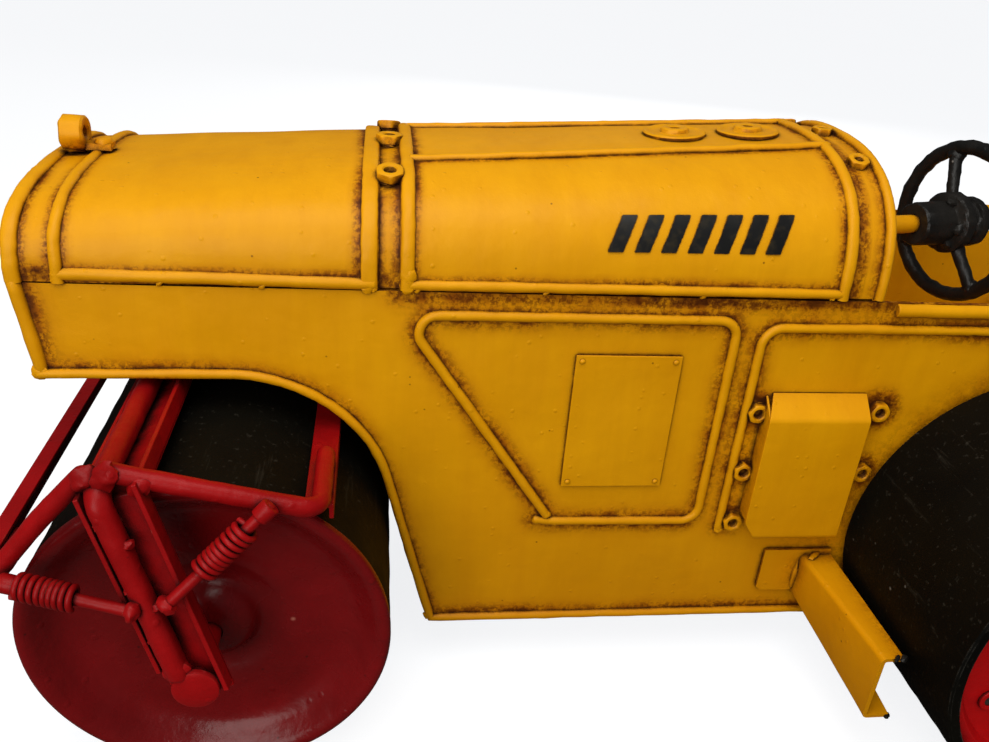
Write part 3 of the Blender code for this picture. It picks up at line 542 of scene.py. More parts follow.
def path_through(corners, bend=5.0, pitch=3.0, steps=8):
    """Path with rounded corners and evenly split straight stretches."""
    corners = [Vector(c) for c in corners]
    rough = [corners[0]]
    for before, corner, after in zip(corners, corners[1:], corners[2:]):
        rough.extend(corner_arc(corner, before, after, bend, steps))
    rough.append(corners[-1])
    return split_path(rough, pitch)


def split_path(points, pitch=3.0):
    points = [Vector(p) for p in points]
    path = [points[0]]
    for start, end in zip(points, points[1:]):
        parts = max(1, round((end - start).length / pitch))
        path.extend(start.lerp(end, i / parts) for i in range(1, parts + 1))
    return path


def mirrored(shape):
    return Shape().add([vec(p.x, -p.y, p.z) for p in shape.points], shape.faces)


def soil(mesh, origin, tree, fade):
    """Stores how near each point is to a soldered wire; the paint turns that into brown wash."""
    store = mesh.attributes.new("grime_and_shade", "FLOAT", "POINT")
    for point, mark in zip(mesh.vertices, store.data):
        place = point.co / MM + origin
        reach = tree.find((place.x, abs(place.y), place.z))[2]
        mark.value = exp(-max(0.0, reach - WIRE_REACH) / fade)


def slice_grid(work, pitch):
    """Cuts flat sheets into a fine grid in x and z so that stains have points to sit on."""
    for axis, normal in ((0, vec(1)), (2, UP)):
        values = [v.co[axis] for v in work.verts]
        level = min(values) + pitch * MM
        while level < max(values):
            everything = work.verts[:] + work.edges[:] + work.faces[:]
            bmesh.ops.bisect_plane(work, geom=everything, plane_co=normal * level, plane_no=normal)
            level += pitch * MM


def soften(item, width, segments, harden):
    """Rounds the sharp edges of a piece."""
    step = item.modifiers.new("soft_edges", "BEVEL")
    step.width = width * MM
    step.segments = segments
    step.limit_method = "ANGLE"
    step.angle_limit = radians(40)
    step.harden_normals = harden


def add_object(name, data):
    item = bpy.data.objects.new(name, data)
    bpy.context.scene.collection.objects.link(item)
    return item


def piece(name, shape, mat, body, node="", bevel=0.0, smooth=38.0, lumps=None, origin=None,
          stains=None, grid=0.0):
    """Makes one mesh object in the frame's place and has it ride on a CAD body."""
    origin = origin or vec(-HOOD_JOINT_X)
    mesh = bpy.data.meshes.new(name)
    mesh.from_pydata([(p - origin) * MM for p in shape.points], [], shape.faces)
    work = bmesh.new()
    work.from_mesh(mesh)
    bmesh.ops.recalc_face_normals(work, faces=work.faces)
    if lumps:
        work.normal_update()
        depth, scale = lumps
        moves = [v.normal * depth * MM * noise.noise(v.co / MM * scale) for v in work.verts]
        for vert, move in zip(work.verts, moves):
            vert.co += move
    if grid:
        slice_grid(work, grid)
    work.to_mesh(mesh)
    work.free()
    if stains:
        soil(mesh, origin, *stains)
    mesh.materials.append(mat)
    mesh.shade_smooth()
    mesh.set_sharp_from_angle(angle=radians(smooth))
    item = add_object(name, mesh)
    item.location = (origin + vec(HOOD_JOINT_X)) * MM
    if bevel:
        soften(item, bevel, 3, True)
    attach(item, body)
    if node:
        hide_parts(node)


def both(name, shape, mat, body, node="", **looks):
    """The left piece and its mirror image. name, body and node may hold {} where the side goes."""
    for side, form in (("left", shape), ("right", mirrored(shape))):
        piece(name.format(side), form, mat, body.format(side), node.format(side), **looks)


# ---------------------------------------------------------------- hood
def hood_top(x):
    if x < HOOD_SPLIT:
        return 151.6 + FRONT_HOOD_SLOPE * x
    return 151.9 + REAR_HOOD_SLOPE * x


def hood_section(x, inset=0.0, steps=96, uneven=0.0):
    """Arch over the body at x, from the left foot to the right foot."""
    share = (x - NOSE_FOOT_X) / (BAND_END - NOSE_FOOT_X)
    power = 2 / (3.2 - 0.6 * share)
    points = []
    for i in range(steps + 1):
        angle = pi * i / steps
        c = cos(angle)
        lift = inset - uneven * noise.noise(vec(x * 0.035, angle * 2.2, 5.0))
        y = -copysign(abs(c) ** power, c) * (HALF_WIDTH - lift)
        rise = hood_top(x) - SEAM_Z - lift
        z = SEAM_Z + 0.3 + abs(sin(angle)) ** power * (rise - 0.3)
        points.append(vec(x, y, z))
    return points


def hood_frame(x, lift=0.0, steps=96):
    """Points of the arch with the direction that looks outwards there."""
    points = hood_section(x, -lift, steps)
    frames = []
    for i, point in enumerate(points):
        along = direction(points, i)
        outward = vec(0, along.z, -along.y).normalized()
        if outward.z < 0 or (abs(outward.z) < 1e-4 and outward.y * point.y < 0):
            outward = -outward
        frames.append((point, outward))
    return frames


def hood_place(x, share, lift=0.0):
    return hood_frame(x, lift, 200)[round(share * 200)]


def hood_sheet(name, node, x_start, x_end, inset=0.0, pitch=1.4, uneven=0.3, bevel=0.2):
    """One sheet of the hood with its slightly beaten surface."""
    stations = max(2, round((x_end - x_start) / pitch) + 1)
    rings = []
    for i in range(stations):
        x = x_start + (x_end - x_start) * i / (stations - 1)
        outer = hood_section(x, inset, uneven=uneven)
        rings.append(outer + hood_section(x, inset + SHEET)[::-1])
    piece(name, Shape().skin(rings), YELLOW, "chassis", node, bevel=bevel, stains=HOOD_STAINS)


def arch_strap(shape, x, width, height, square=2.0, seat=0.0):
    """Half-round or flat strap bent over the hood. square 2 is round, higher is flatter."""
    rings = []
    for point, outward in hood_frame(x, seat):
        p = point + vec(0.10 * noise.noise(point * 0.12), 0, 0)
        grow = 1 + 0.07 * noise.noise(point * 0.2 + vec(3))
        ring = []
        for k in range(11):
            a = pi * k / 10
            u = -copysign(abs(cos(a)) ** (2 / square), cos(a)) * width / 2
            v = abs(sin(a)) ** (2 / square) * height * grow
            ring.append(p + vec(u) + outward * v)
        ring.append(p + vec(width / 2) - outward * 0.5)
        ring.append(p + vec(-width / 2) - outward * 0.5)
        rings.append(ring)
    return shape.skin(rings)


def foot_wire(shape, x_start, x_end, z_start, z_end, radius, sunk):
    """Wire along the foot of the hood, on both sides, with a few solder drips under it."""
    for side in (-1, 1):
        y = side * (HALF_WIDTH + 0.2 - sunk)
        path = split_path([(x_start, y, z_start), (x_end, y, z_end)])
        shape.tube(path, radius, wobble=0.07)
        for share in (0.02, 0.31, 0.66, 0.985):
            spot = path[round(share * (len(path) - 1))] + vec(0, side * sunk, -radius * 0.7)
            shape.blob(spot, (1.2, 0.8, 0.7), share * 20 + side, (0, 1, 0))


WIRE_REACH = 1.2              # half a wire: stains are full up to here
HOOD_STAIN_FADE = 1.45
SIDE_STAIN_FADE = 2.6


def stain_tree(paths):
    points = [p for path in paths for p in split_path(path, 1.0)]
    tree = kdtree.KDTree(len(points))
    for number, point in enumerate(points):
        tree.insert((point.x, abs(point.y), point.z), number)
    tree.balance()
    return tree


def hood_stains():
    arches = [hood_section(x) for x in (NOSE_X + 2.6, FRONT_STRAP_X, -4.0, -1.0, HOOD_SPLIT,
                                        HOOD_SPLIT + 3.0, HOOD_END - 2.5, HOOD_END + 1.0, BAND_END - 2.0)]
    feet = [[(NOSE_X, HALF_WIDTH, 127.2), (HOOD_END, HALF_WIDTH, 127.0)]]
    decks = [[deck_point(i / 20) for i in range(21)]]
    return stain_tree(arches + feet + decks)


def deck_point(share, side=1):
    """A place on the long wires of the rear hood, which draw together towards the cab."""
    x = HOOD_SPLIT + 3 + (HOOD_END - HOOD_SPLIT - 4) * share
    y = side * (DECK_BEAD_Y + (DECK_BEAD_END_Y - DECK_BEAD_Y) * share)
    return min(hood_section(x, -0.2, 400), key=lambda p: abs(p.y - y))


HOOD_STAINS = (hood_stains(), HOOD_STAIN_FADE)


def hood_front():
    hood_sheet("hood_front_sheet", "hood_front", NOSE_X, -0.3, uneven=0.35)
    wires = Shape()
    arch_strap(wires, NOSE_X + 1.7, 3.9, 1.35, square=2.4)
    arch_strap(wires, FRONT_STRAP_X, 3.0, 1.25)
    arch_strap(wires, -0.5 - STRAP / 2, STRAP, 0.95, square=3.4)
    foot_wire(wires, -77.0, -1.5, 127.5, 126.7, 1.75, 0.75)
    for side in (-1, 1):
        wires.blob((-2.6, side * (HALF_WIDTH + 0.2), 126.3), (2.4, 1.6, 0.9), side, (0, 1, 0))
        wires.blob((FRONT_STRAP_X, side * (HALF_WIDTH + 0.1), 127.2), (2.0, 1.6, 0.9), side + 4, (0, 1, 0))
    piece("hood_front_wires", wires, YELLOW, "chassis", lumps=(0.16, 0.45))


def joint_strip():
    hood_sheet("hood_joint_sheet", "hood_joint_strip", -0.4, HOOD_SPLIT + 0.4, 1.0, 1.2, bevel=0.0)
    nuts = Shape()
    for share, turn in zip((0.335, 0.5, 0.665), (0.45, 0.1, 0.35)):
        place, outward = hood_place(2.3, share, 0.0)
        nuts.lathe([(0.3, -1.6), (2.9, -1.6), (2.7, -0.5), (3.0, 0.05), (0.3, 0.05)], place, outward, 24)
        nuts.nut(place, outward, *STRIP_NUT, turn)
        nuts.blob(place - outward * 0.5, (3.2, 3.4, 0.9), share * 31, outward)
    piece("hood_joint_nuts", nuts, YELLOW, "chassis")


def hood_rear():
    hood_sheet("hood_rear_sheet", "hood_rear", HOOD_SPLIT, HOOD_END)
    wires = Shape()
    arch_strap(wires, HOOD_SPLIT + 2.0, 3.6, 1.3, square=2.6)
    arch_strap(wires, HOOD_END - 1.8, 3.4, 1.35)
    foot_wire(wires, 6.6, HOOD_END - 1.5, 126.7, 126.9, 1.45, 0.35)
    for side in (-1, 1):
        deck = [deck_point(i / 39, side) for i in range(40)]
        wires.tube(deck, 1.25, wobble=0.07)
        wires.blob(deck[-1], (1.7, 1.5, 1.1), side + 7)
        wires.blob(deck[0], (1.5, 1.4, 0.9), side + 2)
        foot = side * (HALF_WIDTH + 0.3)
        wires.blob((7.2, foot, 126.2), (2.2, 1.8, 1.1), side + 5, (0, 1, 0))
        wires.blob((7.0, foot, 129.2), (2.3, 2.4, 1.1), side + 9, (0, 1, 0))
    piece("hood_rear_wires", wires, YELLOW, "chassis", lumps=(0.16, 0.45))


def end_band():
    hood_sheet("hood_end_sheet", "hood_end_band", HOOD_END + 0.3, BAND_END, 0.8, 2.0, bevel=0.15)
    nuts = Shape()
    for share, turn in zip((0.35, 0.5, 0.65), (0.4, 0.2, 0.0)):
        place, outward = hood_place(HOOD_END + 4.4, share, -1.0)
        nuts.nut(place, outward, *BAND_NUT, turn)
        nuts.blob(place, (2.9, 2.6, 0.7), share * 17, outward)
    arch_strap(nuts, BAND_END - 1.5, 2.9, 1.45, seat=-0.7)
    piece("hood_end_nuts", nuts, YELLOW, "chassis", lumps=(0.12, 0.5))


def hood_bars():
    """Plain slanted black bars painted on each side of the rear hood."""
    bars = Shape()
    first_x, pitch, width, lean = 57.5, 7.0, 3.9, 3.6
    low_share, high_share = 0.082, 0.178
    proud, sunk = 0.42, 0.5
    for number in range(7):
        rows = []
        for k in range(13):
            share = low_share + (high_share - low_share) * k / 12
            x = first_x + pitch * number + lean * k / 12
            (near, near_out), (far, far_out) = hood_place(x, share), hood_place(x + width, share)
            rows.append([near + near_out * proud, far + far_out * proud, far - far_out * sunk,
                         near - near_out * sunk])
        bars.skin(rows)
    both("hood_bars_{}", bars, DECAL, "chassis")


def lifting_eye():
    """Thick nut-like ring standing on the nose, with a low lump of solder behind it."""
    x = NOSE_X + 6.0
    top = hood_top(x + 3) + 0.3
    eye = Shape()
    profile = [(2.1, -2.5), (2.7, -3.0), (4.2, -3.05), (4.8, -2.5), (4.95, 0.0), (4.8, 2.5), (4.2, 3.05),
               (2.7, 3.0), (2.1, 2.5), (1.95, 0.0)]
    eye.lathe(profile, (x, 0, top + 4.9), (1, 0, 0), 40)
    eye.prism([(x, -2.4), (x + 9.6, -2.4), (x + 9.6, 2.4), (x, 2.4)], "z", (top + 1.0, top + 2.7))
    eye.lathe([(0, 0), (2.4, 0.1), (2.5, 1.2), (2.0, 2.2), (0, 2.4)], (-75.0, 0, top + 1.6), UP, 24)
    eye.blob((x, 0, top + 1.0), (3.6, 3.2, 1.2), 2.0)
    eye.blob((-75.0, 0.8, top + 1.0), (3.2, 3.0, 1.0), 5.0)
    piece("lifting_eye_ring", eye, YELLOW, "chassis", "lifting_eye", lumps=(0.35, 0.4))


def deck_cap(name, x):
    slope = atan(REAR_HOOD_SLOPE)
    axis = (-sin(slope), 0, cos(slope))
    cap = Shape()
    profile = [(1.3, -0.3), (8.9, -0.3), (9.0, 0.5), (8.6, 0.85), (8.0, 0.9), (7.4, 0.6), (7.0, 0.45),
               (4.6, 0.45), (4.2, 0.7), (3.9, 1.6), (3.4, 1.9), (2.0, 1.9), (1.5, 1.6)]
    cap.lathe(profile, (x, 0, hood_top(x) + 0.3), axis, 56)
    piece(name + "_disc", cap, YELLOW, "chassis", name, lumps=(0.2, 0.4))


def nose():
    """Radiator panel with upright bars between a rail and a sill."""
    grille = Shape()
    x = node_box("nose_panel")[0].x + 1.0
    for y in range(-32, 33, 8):
        grille.tube(split_path([(x, y, NOSE_BOTTOM + 5), (x, y, SEAM_Z + 12)]), 0.85, wobble=0.1)
    for z in (NOSE_BOTTOM + 5.2, SEAM_Z + 12.2):
        grille.tube(split_path([(x + 0.1, -36, z), (x + 0.1, 36, z)]), 1.15, wobble=0.1)
    piece("nose_grille", grille, YELLOW, "chassis")


# ---------------------------------------------------------------- side of the body
def arch_edge(grow=0.0):
    """The wheel arch from the nose to the foot; grow moves it into the sheet."""
    reach = ARCH_RADIUS + grow
    turns = [ARCH_TURN * i / 28 for i in range(29)]
    points = [(ARCH_START_X + reach * sin(a), NOSE_BOTTOM - ARCH_RADIUS + reach * cos(a))
              for a in turns]
    return [*points, (13.4 + grow, 26.0), (ARCH_FOOT_X + grow, BODY_BOTTOM)]


def flat_path(corners, bend):
    return [(p.x, p.z) for p in path_through([(x, 0, z) for x, z in corners], bend, 1.5)]


PANEL_FRAME = flat_path([(49.2, 55.2), (5.7, 118.6), (95.8, 118.6), (95.3, 52.8), (50.2, 53.2), (46.0, 53.8)],
                        5.0)
SECOND_FRAME = flat_path([(102.8, 50.0), (103.4, 116.7), (190.0, 117.0)], 5.5)
SIDE_NUTS = ((106.5, 90.7), (106.1, 70.9), (106.4, 52.8), (143.0, 91.2), (143.2, 70.4))


def side_stains():
    arch = [(x, HALF_WIDTH, z) for x, z in arch_edge()]
    edge = [(NOSE_FOOT_X, HALF_WIDTH, NOSE_BOTTOM), *arch, (BELLY_END_X, HALF_WIDTH, BODY_BOTTOM)]
    rings = [[(x + 3.6 * cos(a), HALF_WIDTH, z + 3.6 * sin(a)) for a in range(7)]
             for x, z in SIDE_NUTS]
    frames = [[(x, HALF_WIDTH, z) for x, z in path] for path in (PANEL_FRAME, SECOND_FRAME)]
    seam = [(HOOD_SPLIT, HALF_WIDTH, SEAM_Z - 0.6), (CAB_SLOPE_X, HALF_WIDTH, SEAM_Z - 0.6)]
    nose_edge = [(NOSE_FOOT_X + 2.5, HALF_WIDTH, NOSE_BOTTOM), (NOSE_X + 2.5, HALF_WIDTH, SEAM_Z)]
    return stain_tree([edge, seam, nose_edge] + rings + frames)


def side_wires():
    skin = -HALF_WIDTH - 0.25
    arch = arch_edge(0.65)
    wires = Shape()
    edge = [(NOSE_FOOT_X + 0.8, NOSE_BOTTOM + 0.2), *arch, (BELLY_END_X, BODY_BOTTOM)]
    wires.tube(split_path([(x, skin, z) for x, z in edge]), EDGE_WIRE, wobble=0.07)
    wires.tube(split_path([(NOSE_FOOT_X + 1.5, skin + 0.8, NOSE_BOTTOM + 0.4),
                           (NOSE_X + 1.5, skin + 0.8, SEAM_Z + 0.4)]), NOSE_WIRE, wobble=0.06)
    for path in (PANEL_FRAME, SECOND_FRAME):
        wires.tube([(x, skin + 0.25, z) for x, z in path], FRAME_WIRE, wobble=0.06)
    for x, z, reach in ((46.6, 53.6, 1.5), (49.2, 55.6, 1.5), (102.8, 51.0, 1.5), (15.6, 18.0, 1.5),
                        (NOSE_FOOT_X + 1.2, NOSE_BOTTOM + 0.6, 2.2), (138.6, 17.2, 1.5),
                        (52.0, 53.0, 1.3), (103.0, 49.6, 1.6)):
        wires.blob((x, skin, z), (reach, reach, 1.1), x, (0, 1, 0))
    both("side_wires_{}", wires, YELLOW, "chassis", lumps=(0.14, 0.5))

    rail = Shape()
    ring = [(-1.9, -0.4), (-1.75, 0.9), (-1.1, 1.75), (0.0, 2.1), (1.1, 1.75), (1.75, 0.9), (1.9, -0.4)]
    rings = []
    for step in range(41):
        x = 139.6 + (CAB_SLOPE_X - 139.6) * step / 40
        uneven = 0.12 * noise.noise(vec(x * 0.2, 3, 1))
        rings.append([vec(x, -HALF_WIDTH - v, 122.6 + u + uneven) for u, v in ring])
    rail.skin(rings)
    both("cab_edge_rail_{}", rail, YELLOW, "chassis", bevel=0.3)


def side_panel():
    arch = arch_edge()
    outline = [(NOSE_FOOT_X, NOSE_BOTTOM), *arch, (REAR_X, BODY_BOTTOM), (REAR_X, REAR_TOP),
               (CAB_SLOPE_X, SEAM_Z - 0.4), (NOSE_X, SEAM_Z)]
    sheet = Shape().prism(outline, "y", (-HALF_WIDTH, -HALF_WIDTH + SHEET))
    bearing = [(4.3, 0.4), (9.0, 0.4), (8.9, 1.8), (8.2, 2.6), (4.3, 2.6)]
    sheet.lathe(bearing, (REAR_AXLE.x, -HALF_WIDTH + 1.0, REAR_RADIUS), OUT_LEFT, 48)
    both("side_sheet_{}", sheet, YELLOW, "chassis", "side_panel_{}", bevel=0.25,
         stains=(side_stains(), SIDE_STAIN_FADE), grid=1.8)
    nuts = Shape()
    turns = (0.1, 0.45, 0.25, 0.0, 0.6)
    for (x, z), turn in zip(SIDE_NUTS, turns):
        place = vec(x, -HALF_WIDTH + 0.3, z)
        nuts.nut(place, OUT_LEFT, *SIDE_NUT, turn)
        nuts.blob(place, (3.1, 3.0, 0.9), x + z, OUT_LEFT)
    both("side_nuts_{}", nuts, YELLOW, "chassis")


def access_plate():
    low, high = node_box("access_plate_left")
    face = -HALF_WIDTH - 0.3
    inset = 1.75
    corners = [(low.x, low.z), (high.x, low.z), (high.x, high.z), (low.x, high.z)]
    plate = Shape().prism(corners, "y", (face - 0.7, face))
    both("access_sheet_{}", plate, YELLOW, "chassis", "access_plate_{}", bevel=0.22)
    rivets = Shape()
    for x in (low.x + inset, high.x - inset):
        for z in (low.z + inset, high.z - inset):
            rivets.lathe([(0, 0.6), (0.45, 0.5), (0.8, 0.15), (0.8, -0.3), (0, -0.3)],
                         (x, face - 0.7, z), OUT_LEFT, 16)
    both("access_rivets_{}", rivets, YELLOW, "chassis")


def box_cover():
    """Folded cover: one sheet from the top flap down the front to the foot, with two cheeks."""
    low, high = node_box("box_cover_left")
    back, front = high.y, low.y
    t = 1.1
    fold = high.z - 5.6
    route = path_through([(0, back, high.z), (0, front, fold), (0, front, low.z), (0, back, low.z)],
                         2.2, 1.5, 8)
    cut_high = 6.4
    cut_wide = 4.4
    rings = []
    for i, point in enumerate(route):
        along = direction(route, i)
        inward = vec(0, -along.z, along.y)
        if inward.dot(vec(0, (back + front) / 2, (low.z + fold) / 2) - point) < 0:
            inward = -inward
        left = low.x + cut_wide * max(0.0, min(1.0, 1 - (point.z - low.z) / cut_high))
        taper = max(0.0, (point.z - fold) / (high.z - fold))
        left += 2.2 * taper
        right = high.x + 0.25 * taper
        inner = point + inward * t
        rings.append([vec(left, point.y, point.z), vec(right, point.y, point.z),
                      vec(right, inner.y, inner.z), vec(left, inner.y, inner.z)])
    sheet = Shape().skin(rings)
    inside = [(back, low.z + 7.0), (front + 1.2, low.z + 7.0), (front + 0.4, fold - 0.3),
              (back, high.z - 0.9)]
    sheet.prism(inside, "x", (low.x + 0.2, low.x + 0.9))
    whole = [(back, low.z + 0.6), (front + 0.9, low.z + 0.6), (front + 0.9, fold - 0.3), (back, high.z - 1.2)]
    sheet.prism(whole, "x", (high.x - t, high.x - 0.15))
    both("box_cover_sheet_{}", sheet, YELLOW, "chassis", "box_cover_{}", bevel=0.2)


def step_channel():
    root = -HALF_WIDTH - 0.3
    tip = root - 45.0
    t = SHEET

    def section(share):
        y = root + (tip - root) * share
        web = 131.4 + 4.2 * share
        top_end = 141.4 + 0.6 * share
        foot_end = 141.4 + 2.0 * share
        low = 24.4 - 7.0 * share
        high = 39.8
        sag = 0.15 * noise.noise(vec(share * 3, 1, 2))
        outer = path_through([(foot_end, 0, low), (web, 0, low), (web, 0, high), (top_end, 0, high)],
                             1.6, 60, 4)
        inner = path_through([(top_end, 0, high - t), (web + t, 0, high - t), (web + t, 0, low + t),
                              (foot_end, 0, low + t)], 0.6, 60, 4)
        return [vec(p.x + sag, y, p.z + sag) for p in outer + inner]

    channel = Shape().skin([section(i / 16) for i in range(17)])
    tab = [(119.6, 27.0), (121.0, 25.8), (132.4, 25.6), (141.4, 32.0), (141.4, 41.6), (119.6, 41.6)]
    channel.prism(tab, "y", (root - 1.0, root))
    channel.blob((131.2, root - 0.8, 32.0), (1.2, 1.2, 5.5), 3.0)
    channel.blob((136.5, root - 0.8, 40.0), (4.5, 1.2, 1.0), 6.0)
    both("step_sheet_{}", channel, YELLOW, "chassis", "step_{}", bevel=0.2)
    scuff = Shape()
    for place, reach in (((142.0, tip + 0.3, 39.5), (1.5, 0.9, 0.8)),
                         ((139.9, tip + 0.1, 39.6), (1.7, 0.6, 0.75)),
                         ((143.2, tip + 0.2, 17.8), (1.2, 0.8, 0.75))):
        scuff.blob(place, reach, place[0])
    both("step_scuffs_{}", scuff, BLACK, "chassis")


def grab_rail():
    y = -HALF_WIDTH + 0.6
    top, foot, back = 126.4, 96.0, 245.0
    corners = [(CAB_SLOPE_X - 1.5, y, top), (back, y, top), (back, y, foot), (REAR_X + 1.8, y, foot)]
    rail = Shape().tube(path_through(corners, 5.0, 2.5), 1.5, wobble=0.05)
    rail.blob((REAR_X + 2.2, y, foot), (1.9, 1.9, 1.4), 2.0, (1, 0, 0))
    rail.blob((CAB_SLOPE_X - 0.8, y, top - 0.9), (2.2, 1.6, 1.0), 4.0)
    both("grab_rail_{}", rail, YELLOW, "chassis", "handrail_{}")


# ---------------------------------------------------------------- cab
def seat():
    t = 1.5
    half = 16.9
    corners = [(203.2, 88.2), (222.0, 85.6), (230.0, 92.2), (232.8, 109.6)]
    line = path_through([(x, 0, z) for x, z in corners], 6.0, 2.0)
    rings = []
    count = 24
    for i, point in enumerate(line):
        along = direction(line, i)
        normal = vec(-along.z, 0, along.x)
        share = i / (len(line) - 1)
        round_end = min(1.0, 4.5 * share + 0.72, 5.0 * (1 - share) + 0.72)
        upper = []
        lower = []
        for j in range(count + 1):
            u = -1 + 2 * j / count
            dish = 0.55 * (u * u) ** 2
            place = point + vec(0, u * half * round_end)
            upper.append(place + normal * (t * 0.45 + dish))
            lower.append(place - normal * (t * 0.15 - dish * 0.6))
        rings.append(upper + lower[::-1])
    pan = Shape().skin(rings)
    piece("seat_pan", pan, BLACK, "chassis", "seat", bevel=0.3)


def column():
    start_x = FIREWALL_X + SHEET + 0.4
    start = WHEEL_CENTRE - WHEEL_AXIS * ((WHEEL_CENTRE.x - start_x) / WHEEL_AXIS.x)
    tube = Shape().tube(split_path([start, WHEEL_CENTRE - WHEEL_AXIS * 14.3]), 2.8, 24, wobble=0.04)
    tube.tube([WHEEL_CENTRE - WHEEL_AXIS * 16, WHEEL_CENTRE + WHEEL_AXIS * 5.2], 2.4, 24)
    place = (FIREWALL_X + SHEET + 0.3, start.y, WHEEL_CENTRE.z)
    tube.lathe([(0.4, 0), (6.0, 0), (6.0, 1.2), (5.2, 1.7), (0.4, 1.7)], place, (1, 0, 0), 32)
    tube.blob((place[0] + 1.6, place[1], place[2]), (3.6, 3.6, 1.2), 3.0, (1, 0, 0))
    piece("column_tube", tube, YELLOW, "chassis", "steering_column")


def steering_wheel():
    """Ring, three spokes and a stepped hub, welded roughly and painted thickly."""
    side = WHEEL_AXIS.cross(UP).normalized()
    ring = circle(WHEEL_CENTRE, side, UP, WHEEL_RADIUS, 96)
    wheel = Shape().tube(ring, 2.2, 20, closed=True, wobble=0.06)
    for number, degrees in enumerate((112, 213, 306)):
        a = radians(degrees)
        out = side * cos(a) + UP * sin(a)
        spoke = [WHEEL_CENTRE + out * 4.5 - WHEEL_AXIS * 2.6, WHEEL_CENTRE + out * (WHEEL_RADIUS - 0.3)]
        wheel.tube(split_path(spoke, 1.2), 1.9, 16, wobble=0.14)
        wheel.blob(WHEEL_CENTRE + out * (WHEEL_RADIUS - 1.6), (2.8, 2.6, 2.3), number * 3.3, WHEEL_AXIS, 18)
        wheel.blob(WHEEL_CENTRE + out * 7.0 - WHEEL_AXIS * 2.4, (2.7, 2.7, 2.3), number * 5.1, WHEEL_AXIS, 18)
    collar = [(3.1, -17.6), (6.1, -17.6), (6.6, -17.0), (6.8, -10.0), (6.6, -6.4), (7.4, -5.9)]
    flange = [(8.9, -5.6), (9.5, -5.0), (9.5, -2.2), (9.0, -1.5), (6.6, -1.1), (6.2, -0.4), (6.2, 2.0)]
    tail = [(6.6, 2.6), (7.5, 2.9), (7.8, 3.6), (7.8, 5.2), (7.2, 6.1), (3.1, 6.2)]
    wheel.lathe([*collar, *flange, *tail], WHEEL_CENTRE, WHEEL_AXIS, 56)
    for number in range(5):
        a = number * 1.35
        out = side * cos(a) + UP * sin(a)
        wheel.blob(WHEEL_CENTRE + out * 7.0 - WHEEL_AXIS * 6.2, (2.0, 1.6, 1.6), number * 2.7, out, 14)
    piece("steering_wheel_cast", wheel, BLACK, "steering_wheel", "steering_wheel", lumps=(0.4, 0.42))


# ---------------------------------------------------------------- rolls
def rounded(points, bend=0.8):
    """Rounds every corner of a turned outline."""
    out = []
    count = len(points)
    for i in range(count):
        corner = points[i - 1], points[i], points[(i + 1) % count]
        before, here, after = (vec(r, 0, h) for r, h in corner)
        room = 0.4 * min((before - here).length, (after - here).length)
        to_before = (before - here).normalized()
        to_after = (after - here).normalized()
        angle = acos(max(-1.0, min(1.0, to_before.dot(to_after))))
        radius = min(bend, room * tan(angle / 2))
        if radius < 0.03 or angle > 3.1:
            out.append((here.x, here.z))
        else:
            out.extend((p.x, p.z) for p in corner_arc(here, before, after, radius, 3))
    return out


def front_roll():
    half = DRUM_HALF - 2.8
    r = DRUM_RADIUS - 0.2
    shell = Shape()
    profile = [(r - TREAD_SHEET, -half), (r, -half)]
    profile += [(r + 0.10 * sin(i * 1.9), -half + 2 * half * i / 30) for i in range(1, 30)]
    profile += [(r, half), (r - TREAD_SHEET, half)]
    shell.lathe(profile, DRUM, (0, 1, 0), 128)
    piece("drum_tread", shell, TREAD, "drum", "drum_shell", bevel=0.3, origin=DRUM)
    edge = DRUM_HALF - 2.5
    outer = DRUM_RADIUS
    inner = DRUM_RADIUS - TREAD_SHEET - 0.5
    back = DRUM_HALF - 12.0
    rim = [(outer, -2.5), (outer, -1.1), (outer - 0.5, -0.25), (outer - 1.4, 0.0), (outer - 2.6, -0.25),
           (outer - 4.2, -1.6), (outer - 6.8, -4.6), (outer - 9.0, -6.6), (outer - 11.5, -7.6)]
    dish = [(30.0, -7.9), (24.0, -7.7), (19.5, -7.8), (17.6, -8.6), (15.5, -9.4), (13.0, -9.5),
            (11.9, -9.0)]
    dome = [(11.1, -7.6), (10.0, -5.6), (8.2, -4.1), (5.8, -3.3), (3.3, -3.1)]
    face = [(r, DRUM_HALF + sunk) for r, sunk in rim + dish + dome]
    disc = Shape().lathe([(3.3, back), (inner, back), (inner, edge), *face], DRUM, OUT_LEFT, 128)
    both("drum_face_{}", disc, DISC_RED, "drum", "drum_disc_{}", origin=DRUM, smooth=50)


